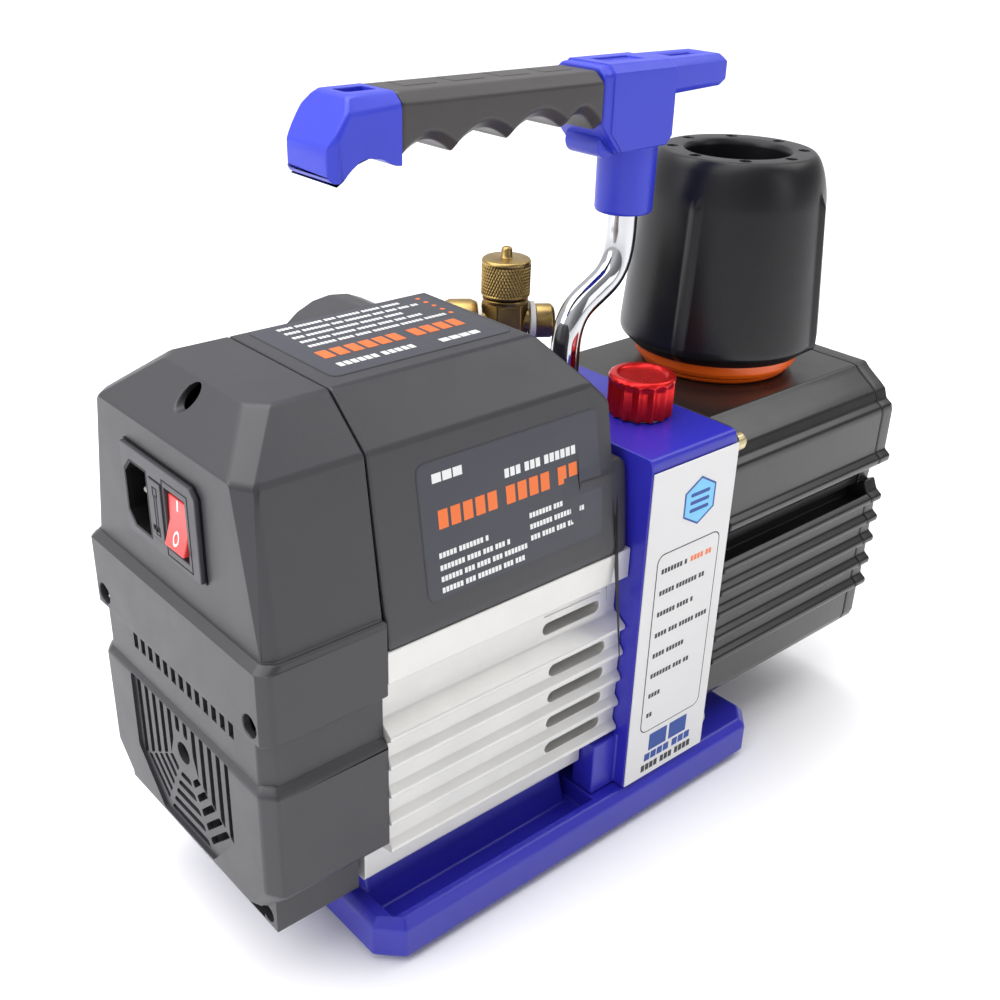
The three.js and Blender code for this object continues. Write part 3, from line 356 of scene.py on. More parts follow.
def together(*meshes):
    """Several meshes in one."""
    out = bmesh.new()
    for mesh in meshes:
        data = bpy.data.meshes.new("part")
        mesh.to_mesh(data)
        mesh.free()
        out.from_mesh(data)
        bpy.data.meshes.remove(data)
    return out


def hulled(points, width=0, segments=3):
    """The convex solid round points and their mirror images in Y, with every edge rounded."""
    mesh = bmesh.new()
    for x, y, z in points:
        for side in (1, -1):
            mesh.verts.new((x, side * y, z))
    bmesh.ops.remove_doubles(mesh, verts=mesh.verts, dist=1e-4)
    made = bmesh.ops.convex_hull(mesh, input=mesh.verts)
    spare = [g for g in made["geom_interior"] + made["geom_unused"] if isinstance(g, bmesh.types.BMVert)]
    bmesh.ops.delete(mesh, geom=spare, context="VERTS")
    bmesh.ops.recalc_face_normals(mesh, faces=mesh.faces)
    bmesh.ops.dissolve_limit(mesh, angle_limit=math.radians(1), verts=mesh.verts, edges=mesh.edges)
    if width:
        bmesh.ops.bevel(mesh, geom=mesh.edges[:], offset=width, segments=segments, profile=0.5,
                        affect="EDGES", clamp_overlap=True)
    return mesh


def prism(outline, x0, x1):
    """A solid along X with an outline of (y, z) points."""
    return lofted([[(x, y, z) for y, z in outline] for x in (x0, x1)])


def rounded_box(name, low, high, radius, material, body):
    """A piece that is a box with rounded edges."""
    piece = new_object(name, block(low, high), material, body)
    return rounded_edges(piece, radius, 3)


def carve(piece, *tools, operation="DIFFERENCE"):
    """Cuts other meshes, in millimetres, out of a piece, or joins them to it."""
    for tool in tools:
        bmesh.ops.recalc_face_normals(tool, faces=tool.faces)
        bmesh.ops.scale(tool, vec=(MM, MM, MM), verts=tool.verts)
        data = bpy.data.meshes.new("tool")
        tool.to_mesh(data)
        tool.free()
        cutter = bpy.data.objects.new("tool", data)
        bpy.context.scene.collection.objects.link(cutter)
        boolean = piece.modifiers.new("cut", "BOOLEAN")
        boolean.object = cutter
        boolean.operation = operation
        boolean.solver = "EXACT"
        baked(piece)
        bpy.data.objects.remove(cutter)
    return piece


# ---- the camera, floor and light ----
CAMERA_AT = (-0.320, -0.334, 0.364)
CAMERA_RIGHT = (0.7588, -0.6508, 0.0257)
CAMERA_UP = (0.2821, 0.3640, 0.8877)
CAMERA_BACK = (-0.5871, -0.6663, 0.4597)
LENS_MM = 44.14
SENSOR_MM = 36
LENS_SHIFT = (0.015, 0.011)
FLOOR_HALF = 30
LIGHT_TARGET = (0, 0, 0.12)
SOFT_BOXES = (  # name, place, size, power in watts
    ("left", (-1.2, 0.45, 0.75), (0.8, 0.8), 5),
    ("front", (0.5, -1.35, 0.75), (0.5, 0.9), 2.2),
    ("top", (0.15, 0.45, 1.5), (1.2, 0.7), 5),
    ("roof", (0.95, -0.38, 1.25), (0.8, 0.8), 5),
)
SUN_POWER = 2.3
SUN_SPREAD = 70
SUN_AIM = (0.32, -0.2, -0.93)


def make_camera():
    """A lens with a little shift, turned so that its right, up and back directions are as given."""
    data = bpy.data.cameras.new("camera")
    camera = bpy.data.objects.new("camera", data)
    bpy.context.scene.collection.objects.link(camera)
    turn = Matrix((CAMERA_RIGHT, CAMERA_UP, CAMERA_BACK)).transposed()
    camera.matrix_world = Matrix.Translation(CAMERA_AT) @ turn.to_4x4()
    data.lens = LENS_MM
    data.sensor_width = SENSOR_MM
    data.shift_x, data.shift_y = LENS_SHIFT
    data.clip_end = 200
    bpy.context.scene.camera = camera


def make_floor():
    """One wide pale plane."""
    mesh = bmesh.new()
    corners = [mesh.verts.new((x * FLOOR_HALF, y * FLOOR_HALF, 0))
               for x, y in ((-1, -1), (1, -1), (1, 1), (-1, 1))]
    mesh.faces.new(corners)
    data = bpy.data.meshes.new("floor")
    mesh.to_mesh(data)
    mesh.free()
    floor = bpy.data.objects.new("floor", data)
    bpy.context.scene.collection.objects.link(floor)
    data.materials.append(look("floor", linear(252, 252, 253), 0.6, grain=(60, 0.02), mottle=(2, 0.004)))


def add_light(name, data, aim, place_at=(0, 0, 0)):
    """A light that shines along a direction."""
    light = bpy.data.objects.new(name, data)
    bpy.context.scene.collection.objects.link(light)
    light.location = place_at
    light.rotation_mode = "QUATERNION"
    light.rotation_quaternion = Vector(aim).to_track_quat("-Z", "Y")


def make_world():
    """A pale sky, brighter overhead and dimmer where the camera's side of the pump reflects it."""
    world = bpy.data.worlds.new("studio")
    bpy.context.scene.world = world
    world.use_nodes = True
    nodes, links = world.node_tree.nodes, world.node_tree.links
    background = nodes["Background"]
    background.inputs["Strength"].default_value = 1.0
    where = nodes.new("ShaderNodeTexCoord")

    def ramp_along(direction, stops):
        """Grey levels at steps along a direction. The first and last stop are the ramp's own."""
        along = nodes.new("ShaderNodeVectorMath")
        along.operation = "DOT_PRODUCT"
        along.inputs[1].default_value = direction
        links.new(where.outputs["Generated"], along.inputs[0])
        ramp = nodes.new("ShaderNodeValToRGB")
        links.new(along.outputs["Value"], ramp.inputs["Fac"])
        for place_at, level in stops[1:-1]:
            ramp.color_ramp.elements.new(place_at)
        for element, (place_at, level) in zip(ramp.color_ramp.elements, stops):
            element.position = place_at
            element.color = (level, level, level * 1.01, 1)
        return ramp.outputs["Color"]

    sky = ramp_along((0, 0, 1), ((0.0, 0.66), (0.25, 0.72), (0.8, 0.9)))
    dim_front = ramp_along((0.45, -0.89, 0.0), ((0.05, 1.0), (0.4, 0.5), (0.8, 0.3)))
    mixed = nodes.new("ShaderNodeVectorMath")
    mixed.operation = "MULTIPLY"
    links.new(sky, mixed.inputs[0])
    links.new(dim_front, mixed.inputs[1])
    links.new(mixed.outputs["Vector"], background.inputs["Color"])


def make_light():
    """Four soft boxes round the pump, and a wide soft sun for the fill."""
    make_world()
    for name, place_at, size, power in SOFT_BOXES:
        data = bpy.data.lights.new(name, "AREA")
        data.shape = "RECTANGLE"
        data.size, data.size_y = size
        data.energy = power
        add_light(name, data, Vector(LIGHT_TARGET) - Vector(place_at), place_at)
    sun = bpy.data.lights.new("sky_fill", "SUN")
    sun.energy = SUN_POWER
    sun.angle = math.radians(SUN_SPREAD)
    add_light("sky_fill", sun, SUN_AIM)
    bpy.context.scene.view_settings.view_transform = "Standard"


# ---- castings and extrusions: the CAD's shapes with rounded edges ----
def make_castings():
    fine("base_plate", BLUE_PAINT, 1.0)
    fine("bracket", BLUE_PAINT, 0.9)
    fine("motor_housing", SILVER, 0.5)
    fine("oil_tank", BLACK_METAL, 0.9)
    fine("tank_front", BLACK_METAL, 0.9)
    fine("tank_flange", FLANGE, 0.8)
    for number in range(1, 5):
        fine(f"flange_bolt_{number}", BOLT_BRASS, 0.4)
        fine(f"foot_{number}", FOOT_RUBBER, 0.3)


# ---- fan cover ----
COVER_FACE = -168.6
COVER_TOP = 99.6
NECK_X = COVER_FACE + 1.8
SEAM = -120.0
GRILLE_Z = 80.0
SLOT_HALF = 1.45
SLOT_PITCH = 5.8
SLANTED_PITCH = 5.3
LEVEL_PITCH = 5.4
BAND_HEIGHT = 2.7
HUB_RADIUS = 4.4
VENTS = {"count": 13, "first": 31, "pitch": 5.65, "half": 1.6, "z": (108.9, 115.2)}
SCREW = {"y": 49, "z": 38.6, "radius": 3.4}


def grille_slots():
    """Outlines of the air slots about the hub: upright ones above, slanted ones beside, level ones below."""
    outlines = []
    for side in (1, -1):
        for i in range(6):
            y = SLOT_PITCH * (i + 0.5)
            inner, outer = y - SLOT_HALF, y + SLOT_HALF

            def low(across):
                return -1.6 - max(0, across - 3) * 0.601

            bottoms = (low(inner), low(outer))
            if i == 0:
                bottoms = (8.2, 8.0)
            if i == 1:
                bottoms = (2.6, low(outer))
            corners = [(inner, bottoms[0]), (outer, bottoms[1]), (outer, 15), (inner, 15)]
            outlines.append([(side * a, b) for a, b in eased_loop(corners, 1.2, 4)])
        for i in range(5):
            reach = 10.4 + SLANTED_PITCH * i
            a, b = math.radians(-31.5), math.radians(-62.5)
            middle = math.radians(-47)
            near, far = reach, reach + BAND_HEIGHT
            corners = [(r / math.cos(t - middle) * math.cos(t), r / math.cos(t - middle) * math.sin(t))
                       for r, t in ((near, b), (far, b), (far, a), (near, a))]
            outlines.append([(side * u, v) for u, v in eased_loop(corners, 0.9, 4)])
    for i in range(5):
        level = -10.2 - LEVEL_PITCH * i
        half = 0.47 * -level - 1.6
        low_level = level - BAND_HEIGHT
        corners = [(-half - 1.2, low_level), (half + 1.2, low_level), (half, level), (-half, level)]
        outlines.append(eased_loop(corners, 1.2, 4))
    turns = [2 * math.pi * i / 32 for i in range(32)]
    outlines.append([(HUB_RADIUS * math.cos(turn), HUB_RADIUS * math.sin(turn)) for turn in turns])
    return [[(y, z + GRILLE_Z) for y, z in outline] for outline in outlines]


def make_fan_cover():
    """The cover over the fan: a shell with a sunk grille, a row of vents above and two screw pockets."""
    face, shoulder, top, neck_x = COVER_FACE, COVER_FACE + 4.2, COVER_TOP, NECK_X
    shell = [(face, 55, 96.6), (face, 55, 54.5), (face, 43, 42), (face + 2.4, 53, top)]
    shell += [(shoulder + 1, 57, top)]
    shell += [(x, y, z) for x in (shoulder, SEAM + 4) for y, z in ((60.2, 96.6), (60.2, 53), (46, 38.6))]
    shell += [(SEAM + 4, 57, top)]
    cover = new_object("grilled_cover", hulled(shell, 1.1), DARK_PLASTIC, "pump")
    neck = hulled([(x, y, z) for z in (top - 6, 121) for x, y in
                   ((neck_x, 52.6), (neck_x + 4.6, 57.2), (SEAM + 4, 57.2))], 0.8)
    lower = prism(eased_loop([(54.5, 58), (-54.5, 58), (-54.5, 33.5), (-52, 31.5), (52, 31.5), (54.5, 33.5)],
                             0.8), face + 4, SEAM - 6)
    carve(cover, neck, lower, operation="UNION")
    trim = hulled([(-176, 61, 20), (-176, 61, 37), (-160.5, 61, 25), (-160.5, 61, 20), (-166, 61, 37)])
    inside = prism([(57.4, 97), (-57.4, 97), (-57.4, 54.6), (-48, 44.5), (-46, 34.3), (46, 34.3), (48, 44.5),
                    (57.4, 54.6)], face + 3.6, SEAM + 6)
    recess = prism(eased_loop([(y, z + GRILLE_Z) for y, z in ((-35.6, 16.6), (-35.6, -17), (-18.4, -36.6),
                                                            (18.4, -36.6), (35.6, -17), (35.6, 16.6))], 1.2),
                   face - 2, face + 1.3)
    slots = [prism(outline, face + 0.8, face + 5.6) for outline in grille_slots()]
    vents = []
    for i in range(VENTS["count"]):
        y = VENTS["first"] - i * VENTS["pitch"]
        vents.append(block((neck_x - 1, y - VENTS["half"], VENTS["z"][0]),
                           (neck_x + 6, y + VENTS["half"], VENTS["z"][1])))
    bore = [(0, -6), (SCREW["radius"], -6), (SCREW["radius"], 13), (0, 13)]
    pockets = [turned(bore, (-169, side * SCREW["y"], SCREW["z"]), "X", 32) for side in (-1, 1)]
    carve(cover, block((-130, -72, 18), (SEAM + 8, 72, 48.5)), block((SEAM, -72, 18), (SEAM + 8, 72, 130)),
          block((-172, -72, 117), (SEAM + 8, 72, 124)), trim, inside,
          block((neck_x + 2.6, -54.4, 90), (SEAM + 6, 54.4, 120)), recess, together(*slots),
          together(*vents, *pockets))
    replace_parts(smooth(cover, 32), "fan_cover")
    # Painted shade: a near-black sheet behind the grille's slots and another behind the vents, inside the
    # cover.
    new_object("grille_shade_sheet", together(block((face + 5.8, -38, 43), (face + 6.4, 38, 97.5)),
                                          block((neck_x + 7, -38, 104), (neck_x + 7.6, 36, 116.6))),
               SHADE_AND_SEAM_BLACK, "pump")


def make_covers():
    """The plastic covers, the mains module and the painted plate."""
    fine("rear_cover", DARK_PLASTIC, 1.6, 3, 12)
    make_fan_cover()
    fine("control_cover", DARK_PLASTIC, 1.6, 3, 12)
    fine("power_module", MODULE_PLASTIC, 0.4)
    fine("fuse_drawer", MODULE_PLASTIC, 0.3)
    fine("rocker_switch", ROCKER_RED, 0.5, 3, 20)
    fine("label_plate", LABEL_WHITE, 0.15)


AS_DRAWN = {
    "stator_core": STEEL, "winding_rear": COPPER, "winding_front": COPPER, "motor_rotor": CAST_IRON,
    "motor_end_shield": SILVER, "rear_bearing": STEEL, "front_bearing": STEEL, "cooling_fan": BLACK_PLASTIC,
    "circuit_board": BOARD, "stage_1_housing": CAST_IRON, "stage_2_housing": CAST_IRON,
    "pump_front_plate": CAST_IRON, "pump_end_plate": CAST_IRON, "pump_rotor_1": STEEL, "pump_rotor_2": STEEL,
    "vane_1": CARBON, "vane_2": CARBON, "vane_3": CARBON, "vane_4": CARBON, "drive_shaft": STEEL,
    "shaft_seal": SEAL, "drain_washer": BRASS, "ballast_stem": BRASS, "cap_gasket": SEAL,
    "gauge_glass": GLASS, "gauge_needle": SEAL, "sight_glass": GLASS,
}


def make_hidden():
    """Pieces inside the pump and its small glasses, shown just as the CAD has them."""
    for node, material in AS_DRAWN.items():
        dress(node, material)


# ---- handle ----
GRIP_X = (-77.0, 14.0)
GRIP_TOP = 303.0
GRIP_HALF = 13.5
SCALLOP = 5.4
PAD_COUNT = 4
HANDLE_TOP = 303.2
ROD_RADIUS = 6.0
GRIP_LOWS = ((-77.0, 280.8), (-54.0, 281.8), (-29.0, 283.6), (-3.0, 284.4), (14.0, 281.8))


def eased_loop(points, radius, steps=3):
    """A closed outline of points with every corner rounded."""
    count = len(points)
    out = []
    for i in range(count):
        before, corner, after = (Vector(points[(i + k) % count]) for k in (-1, 0, 1))
        a, b = before - corner, after - corner
        back = min(radius, 0.45 * a.length, 0.45 * b.length)
        start, end = corner + a.normalized() * back, corner + b.normalized() * back
        for k in range(steps + 1):
            t = k / steps
            out.append(tuple(start * (1 - t) ** 2 + corner * 2 * t * (1 - t) + end * t ** 2))
    return out


def handle_section(x, top, low, half, chamfer=(5.0, 7.0), corner=2.4):
    """A section across the handle: flat top, chamfered shoulders, straight sides and a rounded underside."""
    inset, drop = chamfer
    right = [(half - inset, top), (half, top - drop), (half, low + 3.6), (half - 4, low)]
    outline = right + [(-y, z) for y, z in reversed(right)]
    return [(x, y, z) for y, z in eased_loop(outline, corner)]


def grip_low(x):
    """The underside of the grip: finger scallops between low points."""
    for (x0, z0), (x1, z1) in zip(GRIP_LOWS, GRIP_LOWS[1:]):
        if x <= x1:
            t = (x - x0) / (x1 - x0)
            return z0 + (z1 - z0) * t + SCALLOP * math.sin(math.pi * min(1, max(0, t))) ** 0.85
    return GRIP_LOWS[-1][1]


def make_grip():
    """The rubber sleeve, with four thin pads let into its top."""
    x0, x1 = GRIP_X
    count = 110
    sections = []
    for i in range(count + 1):
        x = x0 + (x1 - x0) * i / count
        end = min(x - x0, x1 - x)
        ease = 0.5 * max(0.0, 1 - end / 0.8)
        top, low, half = GRIP_TOP - ease, grip_low(x) + ease, GRIP_HALF - ease
        sections.append(handle_section(x, top, low, half, (4.2, 3.4), 1.2))
    grip = new_object("grip", lofted(sections), GRIP_RUBBER, "pump")
    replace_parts(smooth(grip, 50), "handle_grip")
    pitch = (x1 - x0 - 8) / PAD_COUNT
    for i in range(PAD_COUNT):
        start = x0 + 9 + i * pitch
        low, high = (start, -2.5, GRIP_TOP - 1), (start + pitch - 7, 7.6, GRIP_TOP + 0.2)
        rounded_box(f"grip_pad_{i + 1}", low, high, 0.3, GRIP_RUBBER, "pump")


def make_handle_end():
    """The blue end of the handle: a blunt nose that hooks down, with a pocket in its top."""
    joint, top = GRIP_X[0] - GAP, HANDLE_TOP
    outline = [(joint, top), (-95, top), (-104.8, 288.4), (-105.2, 286), (-105, 279.6), (-103.2, 277.3),
               (-100.3, 278), (-97.3, 281), (-93.7, 283.4), (-90.4, 284.2), (-85, 283.4), (-80.4, 280.8),
               (joint, 280.4)]
    outline = [outline[0]] + eased_loop(outline, 1.6, 4)[5:-5] + [outline[-1]]
    hook = lofted([[(x, y, z) for x, z in outline] for y in (-15, 15)])
    points = [(x, y, z) for x, y, z in (
        (joint + 8, 13.7, 299.8), (joint + 8, 9.6, top), (joint + 8, 13.7, 265), (-95, 9, top),
        (-98, 13.5, 298), (-101.5, 13.5, 291), (-101.5, 13.5, 265), (-105.3, 11, 289), (-105.3, 11, 265))]
    end = new_object("handle_hook", hulled(points, 1.3, 4), HANDLE_BLUE, "pump")
    carve(end, hook, operation="INTERSECT")
    pocket = eased_loop([(-92, -4), (-80, -4), (-80, 4), (-92, 4)], 1.2)
    carve(end, lofted([[(x, y, z) for x, y in pocket] for z in (297, 310)]))
    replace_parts(rounded_edges(end, 0.9, 3, 50), "handle_end")


def swept(points, radius, sides=40):
    """A round bar along a path in the plane Y = 0."""
    sections = []
    for i, (x, z) in enumerate(points):
        before, after = points[max(0, i - 1)], points[min(len(points) - 1, i + 1)]
        along = Vector((after[0] - before[0], after[1] - before[1])).normalized()
        across = Vector((along.y, -along.x))
        ring = []
        for k in range(sides):
            angle = 2 * math.pi * k / sides
            out = across * radius * math.cos(angle)
            ring.append((x + out.x, radius * math.sin(angle), z + out.y))
        sections.append(ring)
    return lofted(sections)


def bezier(a, b, c, d, steps):
    """Points on a cubic curve in a plane, without its last one."""
    out = []
    for i in range(steps):
        t = i / steps
        weights = ((1 - t) ** 3, 3 * t * (1 - t) ** 2, 3 * t ** 2 * (1 - t), t ** 3)
        out.append(tuple(sum(w * p[k] for w, p in zip(weights, (a, b, c, d))) for k in (0, 1)))
    return out


def make_rod():
    """The plated rod, which rises from the bracket, leans forwards and rises again into the head."""
    foot, head, low, high = 15.0, 43.0, 192.0, 240.0
    path = [(foot, 152.0), (foot, 170.0)]
    path += bezier((foot, low), (foot, low + 18), (22, low + 20), (29, low + 24), 24)
    path += bezier((29, low + 24), (36, low + 28), (head, high - 18), (head, high), 24)
    path += [(head, high), (head, 250.0), (head, 262.0)]
    rod = new_object("chrome_rod", swept(path, ROD_RADIUS), CHROME, "pump")
    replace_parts(smooth(rod, 60), "handle_rod")


def make_handle():
    fine("handle_head", HANDLE_BLUE, 1.3, 3, 15)
    make_handle_end()
    make_grip()
    make_rod()


# ---- exhaust filter ----
FILTER_X = 112.0
FILTER_HOLES = {"count": 8, "circle": 27.8}
RIB = {"start": 163, "height": 1.7, "half_width": 3.8}


def filter_radius(radius, height, angle):
    """Four narrow ribs run up the body's side and fade out on its shoulder."""
    if radius < 36 or height < 181:
        return radius
    rise = min(1.0, max(0.0, (250 - height) / 5))
    turn = (math.degrees(angle) + RIB["start"]) % 90
    off = min(turn, 90 - turn)
    return radius + RIB["height"] * rise * max(0.0, 1 - off / RIB["half_width"]) ** 0.8


def make_filter():
    """The filter's black body, which tapers to a round shoulder, and the orange ring under it."""
    side = [(39, 179), (43.6, 183.4), (44.1, 184.6), (44.2, 187)]
    side += [(44.2 - 4.6 * t, 187 + 58 * t) for t in (0.15, 0.3, 0.45, 0.6, 0.75, 0.85, 0.95, 1.0)]
    shoulder = bezier((39.6, 245), (39.0, 251), (36.2, 262.6), (32.0, 264), 16) + [(32.0, 264)]
    inner = [(24.6, 264), (23.2, 263.6), (22.2, 262.4), (22, 261), (22, 202), (21, 200), (12, 200), (12, 158),
             (16, 158), (16.9, 160), (16.9, 178.8), (17.6, 179)]
    shell = turned(side + shoulder[1:] + inner, (FILTER_X, 0, 0), steps=360, radius_at=filter_radius)
    body = new_object("filter_housing", shell, FILTER_BLACK, "filter")
    hole = [(0, 257), (2.1, 257), (2.1, 263), (2.6, 263.8), (2.6, 266), (0, 266)]
    count, circle = FILTER_HOLES["count"], FILTER_HOLES["circle"]
    tools = []
    for i in range(count):
        angle = 2 * math.pi * i / count
        centre = (FILTER_X + circle * math.cos(angle), circle * math.sin(angle), 0)
        tools.append(turned(hole, centre, steps=20))
    carve(body, *tools)
    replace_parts(smooth(body, 34), "filter_body")
    rim = [(18, 169.3), (32.2, 169.3), (33.2, 170.2), (33.6, 171.6), (35.6, 172.8), (36.6, 174.6)]
    rim += [(37.0, 178.7), (18, 178.7)]
    band = new_object("filter_band", turned(eased(rim, 0.5), (FILTER_X, 0, 0), steps=128), ORANGE,
                      "filter_seal")
    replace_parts(smooth(band, 50), "filter_ring")


# ---- gas ballast knob ----
KNOB = (27.0, -32.0)
KNOB_FLUTES = 14
FLUTE_DEPTH = 2.1


def knob_radius(radius, height, angle):
    """Fourteen scooped flutes between narrow ridges, which end just under the rim."""
    if radius < 12.6:
        return radius
    depth = FLUTE_DEPTH * min(1.0, max(0.0, (189.8 - height) / 2.4)) ** 0.6
    return radius - depth * math.sqrt(math.cos(KNOB_FLUTES / 2 * angle) ** 2 + 0.015)


def make_knob():
    """The fluted red knob, dished on top, and the washer under it."""
    profile = [(0, 190.3), (9.2, 190.3), (9.8, 190.9), (10.2, 191.5), (12.0, 191.6), (12.9, 191.1)]
    profile += [(13.4, 190.2)] + [(13.6, z) for z in (189.6, 189.0, 188.4, 187.6, 186.6, 183, 179)]
    profile += [(13.5, 176.2), (13.1, 175), (3.3, 174.9), (3.3, 184), (0, 184)]
    shape = turned(profile, (*KNOB, 0), steps=KNOB_FLUTES * 18, radius_at=knob_radius)
    knob = new_object("fluted_knob", shape, KNOB_RED, "ballast")
    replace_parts(smooth(knob, 50), "ballast_knob")
    foot = turned(eased([(3.6, 174.3), (10.6, 174.3), (11.2, 174.8), (3.6, 174.8), (3.6, 174.3)], 0.1),
                  (*KNOB, 0), steps=64)
    new_object("knob_washer", foot, STEEL, "pump")


# ---- inlet fitting ----
INLET = (22.0, 45.0)
PORT_Z = 193
PORT_TURN = -35


def knurl(rows, count, depth, low, high):
    """A diamond pattern of small pyramids between two heights."""
    def radius_at(radius, height, angle):
        if not low < height < high or radius < 8:
            return radius
        edge = min(1.0, (height - low) / 0.8, (high - height) / 0.8)
        a = count * angle / 2 + rows * (height - low)
        b = count * angle / 2 - rows * (height - low)
        return radius - depth * edge * (1 - abs(math.cos(a)) * abs(math.cos(b)))
    return radius_at


def make_inlet():
    """The brass fitting's body, its knurled cap and seat, and white tape on the two side threads."""
    fine("inlet_body", BRASS, 0.5, 2, 30)
    heights = [205.6 + 0.3 * i for i in range(46)]
    outer = [(8.4, 204.6), (9.8, 204.6), (10.5, 205.2)] + [(10.6, h) for h in heights]
    outer += [(10.6, 219.5), (10.3, 220.3), (9.6, 220.8), (3.0, 221.0), (2.5, 221.3), (2.4, 224.2)]
    outer += [(2.1, 225.1), (1.4, 225.6), (0, 225.6)]
    profile = [(0, 217.6), (8, 217.6), (8, 205.2)] + outer
    cap = turned(profile, (*INLET, 0), steps=288, radius_at=knurl(1.15, 48, 0.55, 205.4, 219.3))
    cap = new_object("knurled_cap", cap, BRASS, "cap")
    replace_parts(smooth(cap, 60), "inlet_cap")
    collar = turned(eased([(7.5, 202.0), (9.8, 202.0), (10.0, 203.9), (7.5, 203.9), (7.5, 202.0)], 0.4),
                    (*INLET, 0), steps=72)
    smooth(new_object("cap_seat", collar, BRASS, "pump"))
    turn = Matrix.Rotation(math.radians(PORT_TURN), 3, "Z")
    for name, low, high, radius in (("thread_tape_a", 10.6, 12.8, 8.6), ("thread_tape_b", -12.4, -10.4, 8.2)):
        profile = eased([(4, low), (radius, low), (radius, high), (4, high), (4, low)], 0.3)
        tape = turned(profile, (0, 0, 0), "X", 48)
        bmesh.ops.rotate(tape, verts=tape.verts, matrix=turn)
        bmesh.ops.translate(tape, vec=(*INLET, PORT_Z), verts=tape.verts)
        smooth(new_object(name, tape, TAPE_WHITE, "pump"))


def make_fittings():
    """Everything that screws onto the pump, and a near-black sheet of painted shade inside the motor's bore.
    """
    make_filter()
    make_knob()
    make_inlet()
    fine("drain_plug", BRASS, 0.4)
    fine("sight_glass_ring", STEEL, 0.3)
    fine("gauge_case", BLACK_PLASTIC, 0.5)
    # Painted shade: a near-black sheet on the inner wall of the motor's bore.
    bore_shade_profile = eased([(41.2, -112), (42.4, -112), (42.4, -4), (41.2, -4), (41.2, -112)], 0.1)
    new_object("bore_shade_sheet", turned(bore_shade_profile, (0, 0, AXIS_Z), "X", 96), SHADE_AND_SEAM_BLACK, "pump")


# ---- labels ----
EDGE_LIFT = (0.02, 0.10)
FILM_LIFT = (0.05, 0.16)
INK_LIFT = (0.1, 0.24)
PLATE_LIFT = (-0.1, 0.12)


def rounded_rect(u0, v0, u1, v1, radius, steps=5):
    """A rectangle with round corners, anticlockwise."""
    out = []
    for cu, cv, start in ((u1 - radius, v0 + radius, -90), (u1 - radius, v1 - radius, 0),
                          (u0 + radius, v1 - radius, 90), (u0 + radius, v0 + radius, 180)):
        for i in range(steps + 1):
            angle = math.radians(start + 90 * i / steps)
            out.append((cu + radius * math.cos(angle), cv + radius * math.sin(angle)))
    return out


def word_bars(u0, u1, v, height, rng, share=0.62):
    """A line of small blocks grouped like words, from u0 to u1."""
    out = []
    u = u0
    width, gap = height * share, height * 0.2
    while u < u1 - width:
        for _ in range(rng.randint(3, 7)):
            if u > u1 - width:
                break
            out.append([(u, v), (u + width, v), (u + width, v + height), (u, v + height)])
            u += width + gap
        u += height * 0.45
    return out


def applied(name, outlines, at, toward, host, lift, material, body="pump", cell=9.0):
    """A thin closed film of flat outlines laid on a CAD node's surface. at(u, v) starts a ray towards it."""
    source = frame["nodes"][host]
    tree = BVHTree.FromPolygons([v.co / MM for v in source.data.vertices],
                                [tuple(p.vertices) for p in source.data.polygons])
    mesh = bmesh.new()
    for outline in outlines:
        mesh.faces.new([mesh.verts.new((u, v, 0)) for u, v in outline])
    for axis in (0, 1):
        values = [v.co[axis] for v in mesh.verts]
        where = min(values) + cell
        while where < max(values):
            normal = [0, 0, 0]
            normal[axis] = 1
            point = [0, 0, 0]
            point[axis] = where
            bmesh.ops.bisect_plane(mesh, geom=mesh.verts[:] + mesh.edges[:] + mesh.faces[:], plane_co=point,
                                   plane_no=normal)
            where += cell
    grown = bmesh.ops.extrude_face_region(mesh, geom=mesh.faces[:], use_keep_orig=True)
    for vert in [g for g in grown["geom"] if isinstance(g, bmesh.types.BMVert)]:
        vert.co.z = 1
    for vert in mesh.verts:
        place_at, normal, _, _ = tree.ray_cast(Vector(at(vert.co.x, vert.co.y)), Vector(toward))
        if normal.dot(Vector(toward)) > 0:
            normal = -normal
        vert.co = place_at + normal * (lift[1] if vert.co.z > 0.5 else lift[0])
    return new_object(name, mesh, material, body)


def on_side(u, v):
    """A start in front of the near side, where u runs along X and v along Z."""
    return (u, -120, v)


def on_top(u, v):
    """A start above the pump, where u runs along X and v along Y."""
    return (u, v, 260)


def on_rear(u, v):
    """A start behind the rear face, where u runs along Y and v along Z."""
    return (-200, u, v)


def make_side_label():
    """The grey label on the cover's near side, with a heading and rows of small bars."""
    rng = random.Random(7)
    to = (0, 1, 0)
    host = "control_cover"
    applied("side_label_edge", [rounded_rect(-101.9, 146.4, -18.3, 195.0, 3.4)], on_side, to, host,
            EDGE_LIFT, PAPER_EDGE)
    applied("side_label", [rounded_rect(-101.4, 146.9, -18.8, 194.5, 3)], on_side, to, host, FILM_LIFT,
            LABEL_GREY)
    heading = word_bars(-94.5, -26.2, 171.0, 6.6, rng)
    applied("side_heading", heading, on_side, to, host, INK_LIFT, INK_ORANGE)
    white = word_bars(-64.5, -28.4, 180.6, 3.2, rng) + word_bars(-95.6, -78, 187.2, 3.2, rng, 1.2)
    for u1, v in ((-73, 161.0), (-64, 156.6), (-55, 152.6), (-57, 148.6)):
        white += word_bars(-95.6, u1, v, 1.9, rng)
    for u1, v in ((-38, 163.0), (-27.5, 158.8), (-33, 154.6)):
        white += word_bars(-54.6, u1, v, 1.9, rng)
    applied("side_text", white, on_side, to, host, INK_LIFT, INK_WHITE)


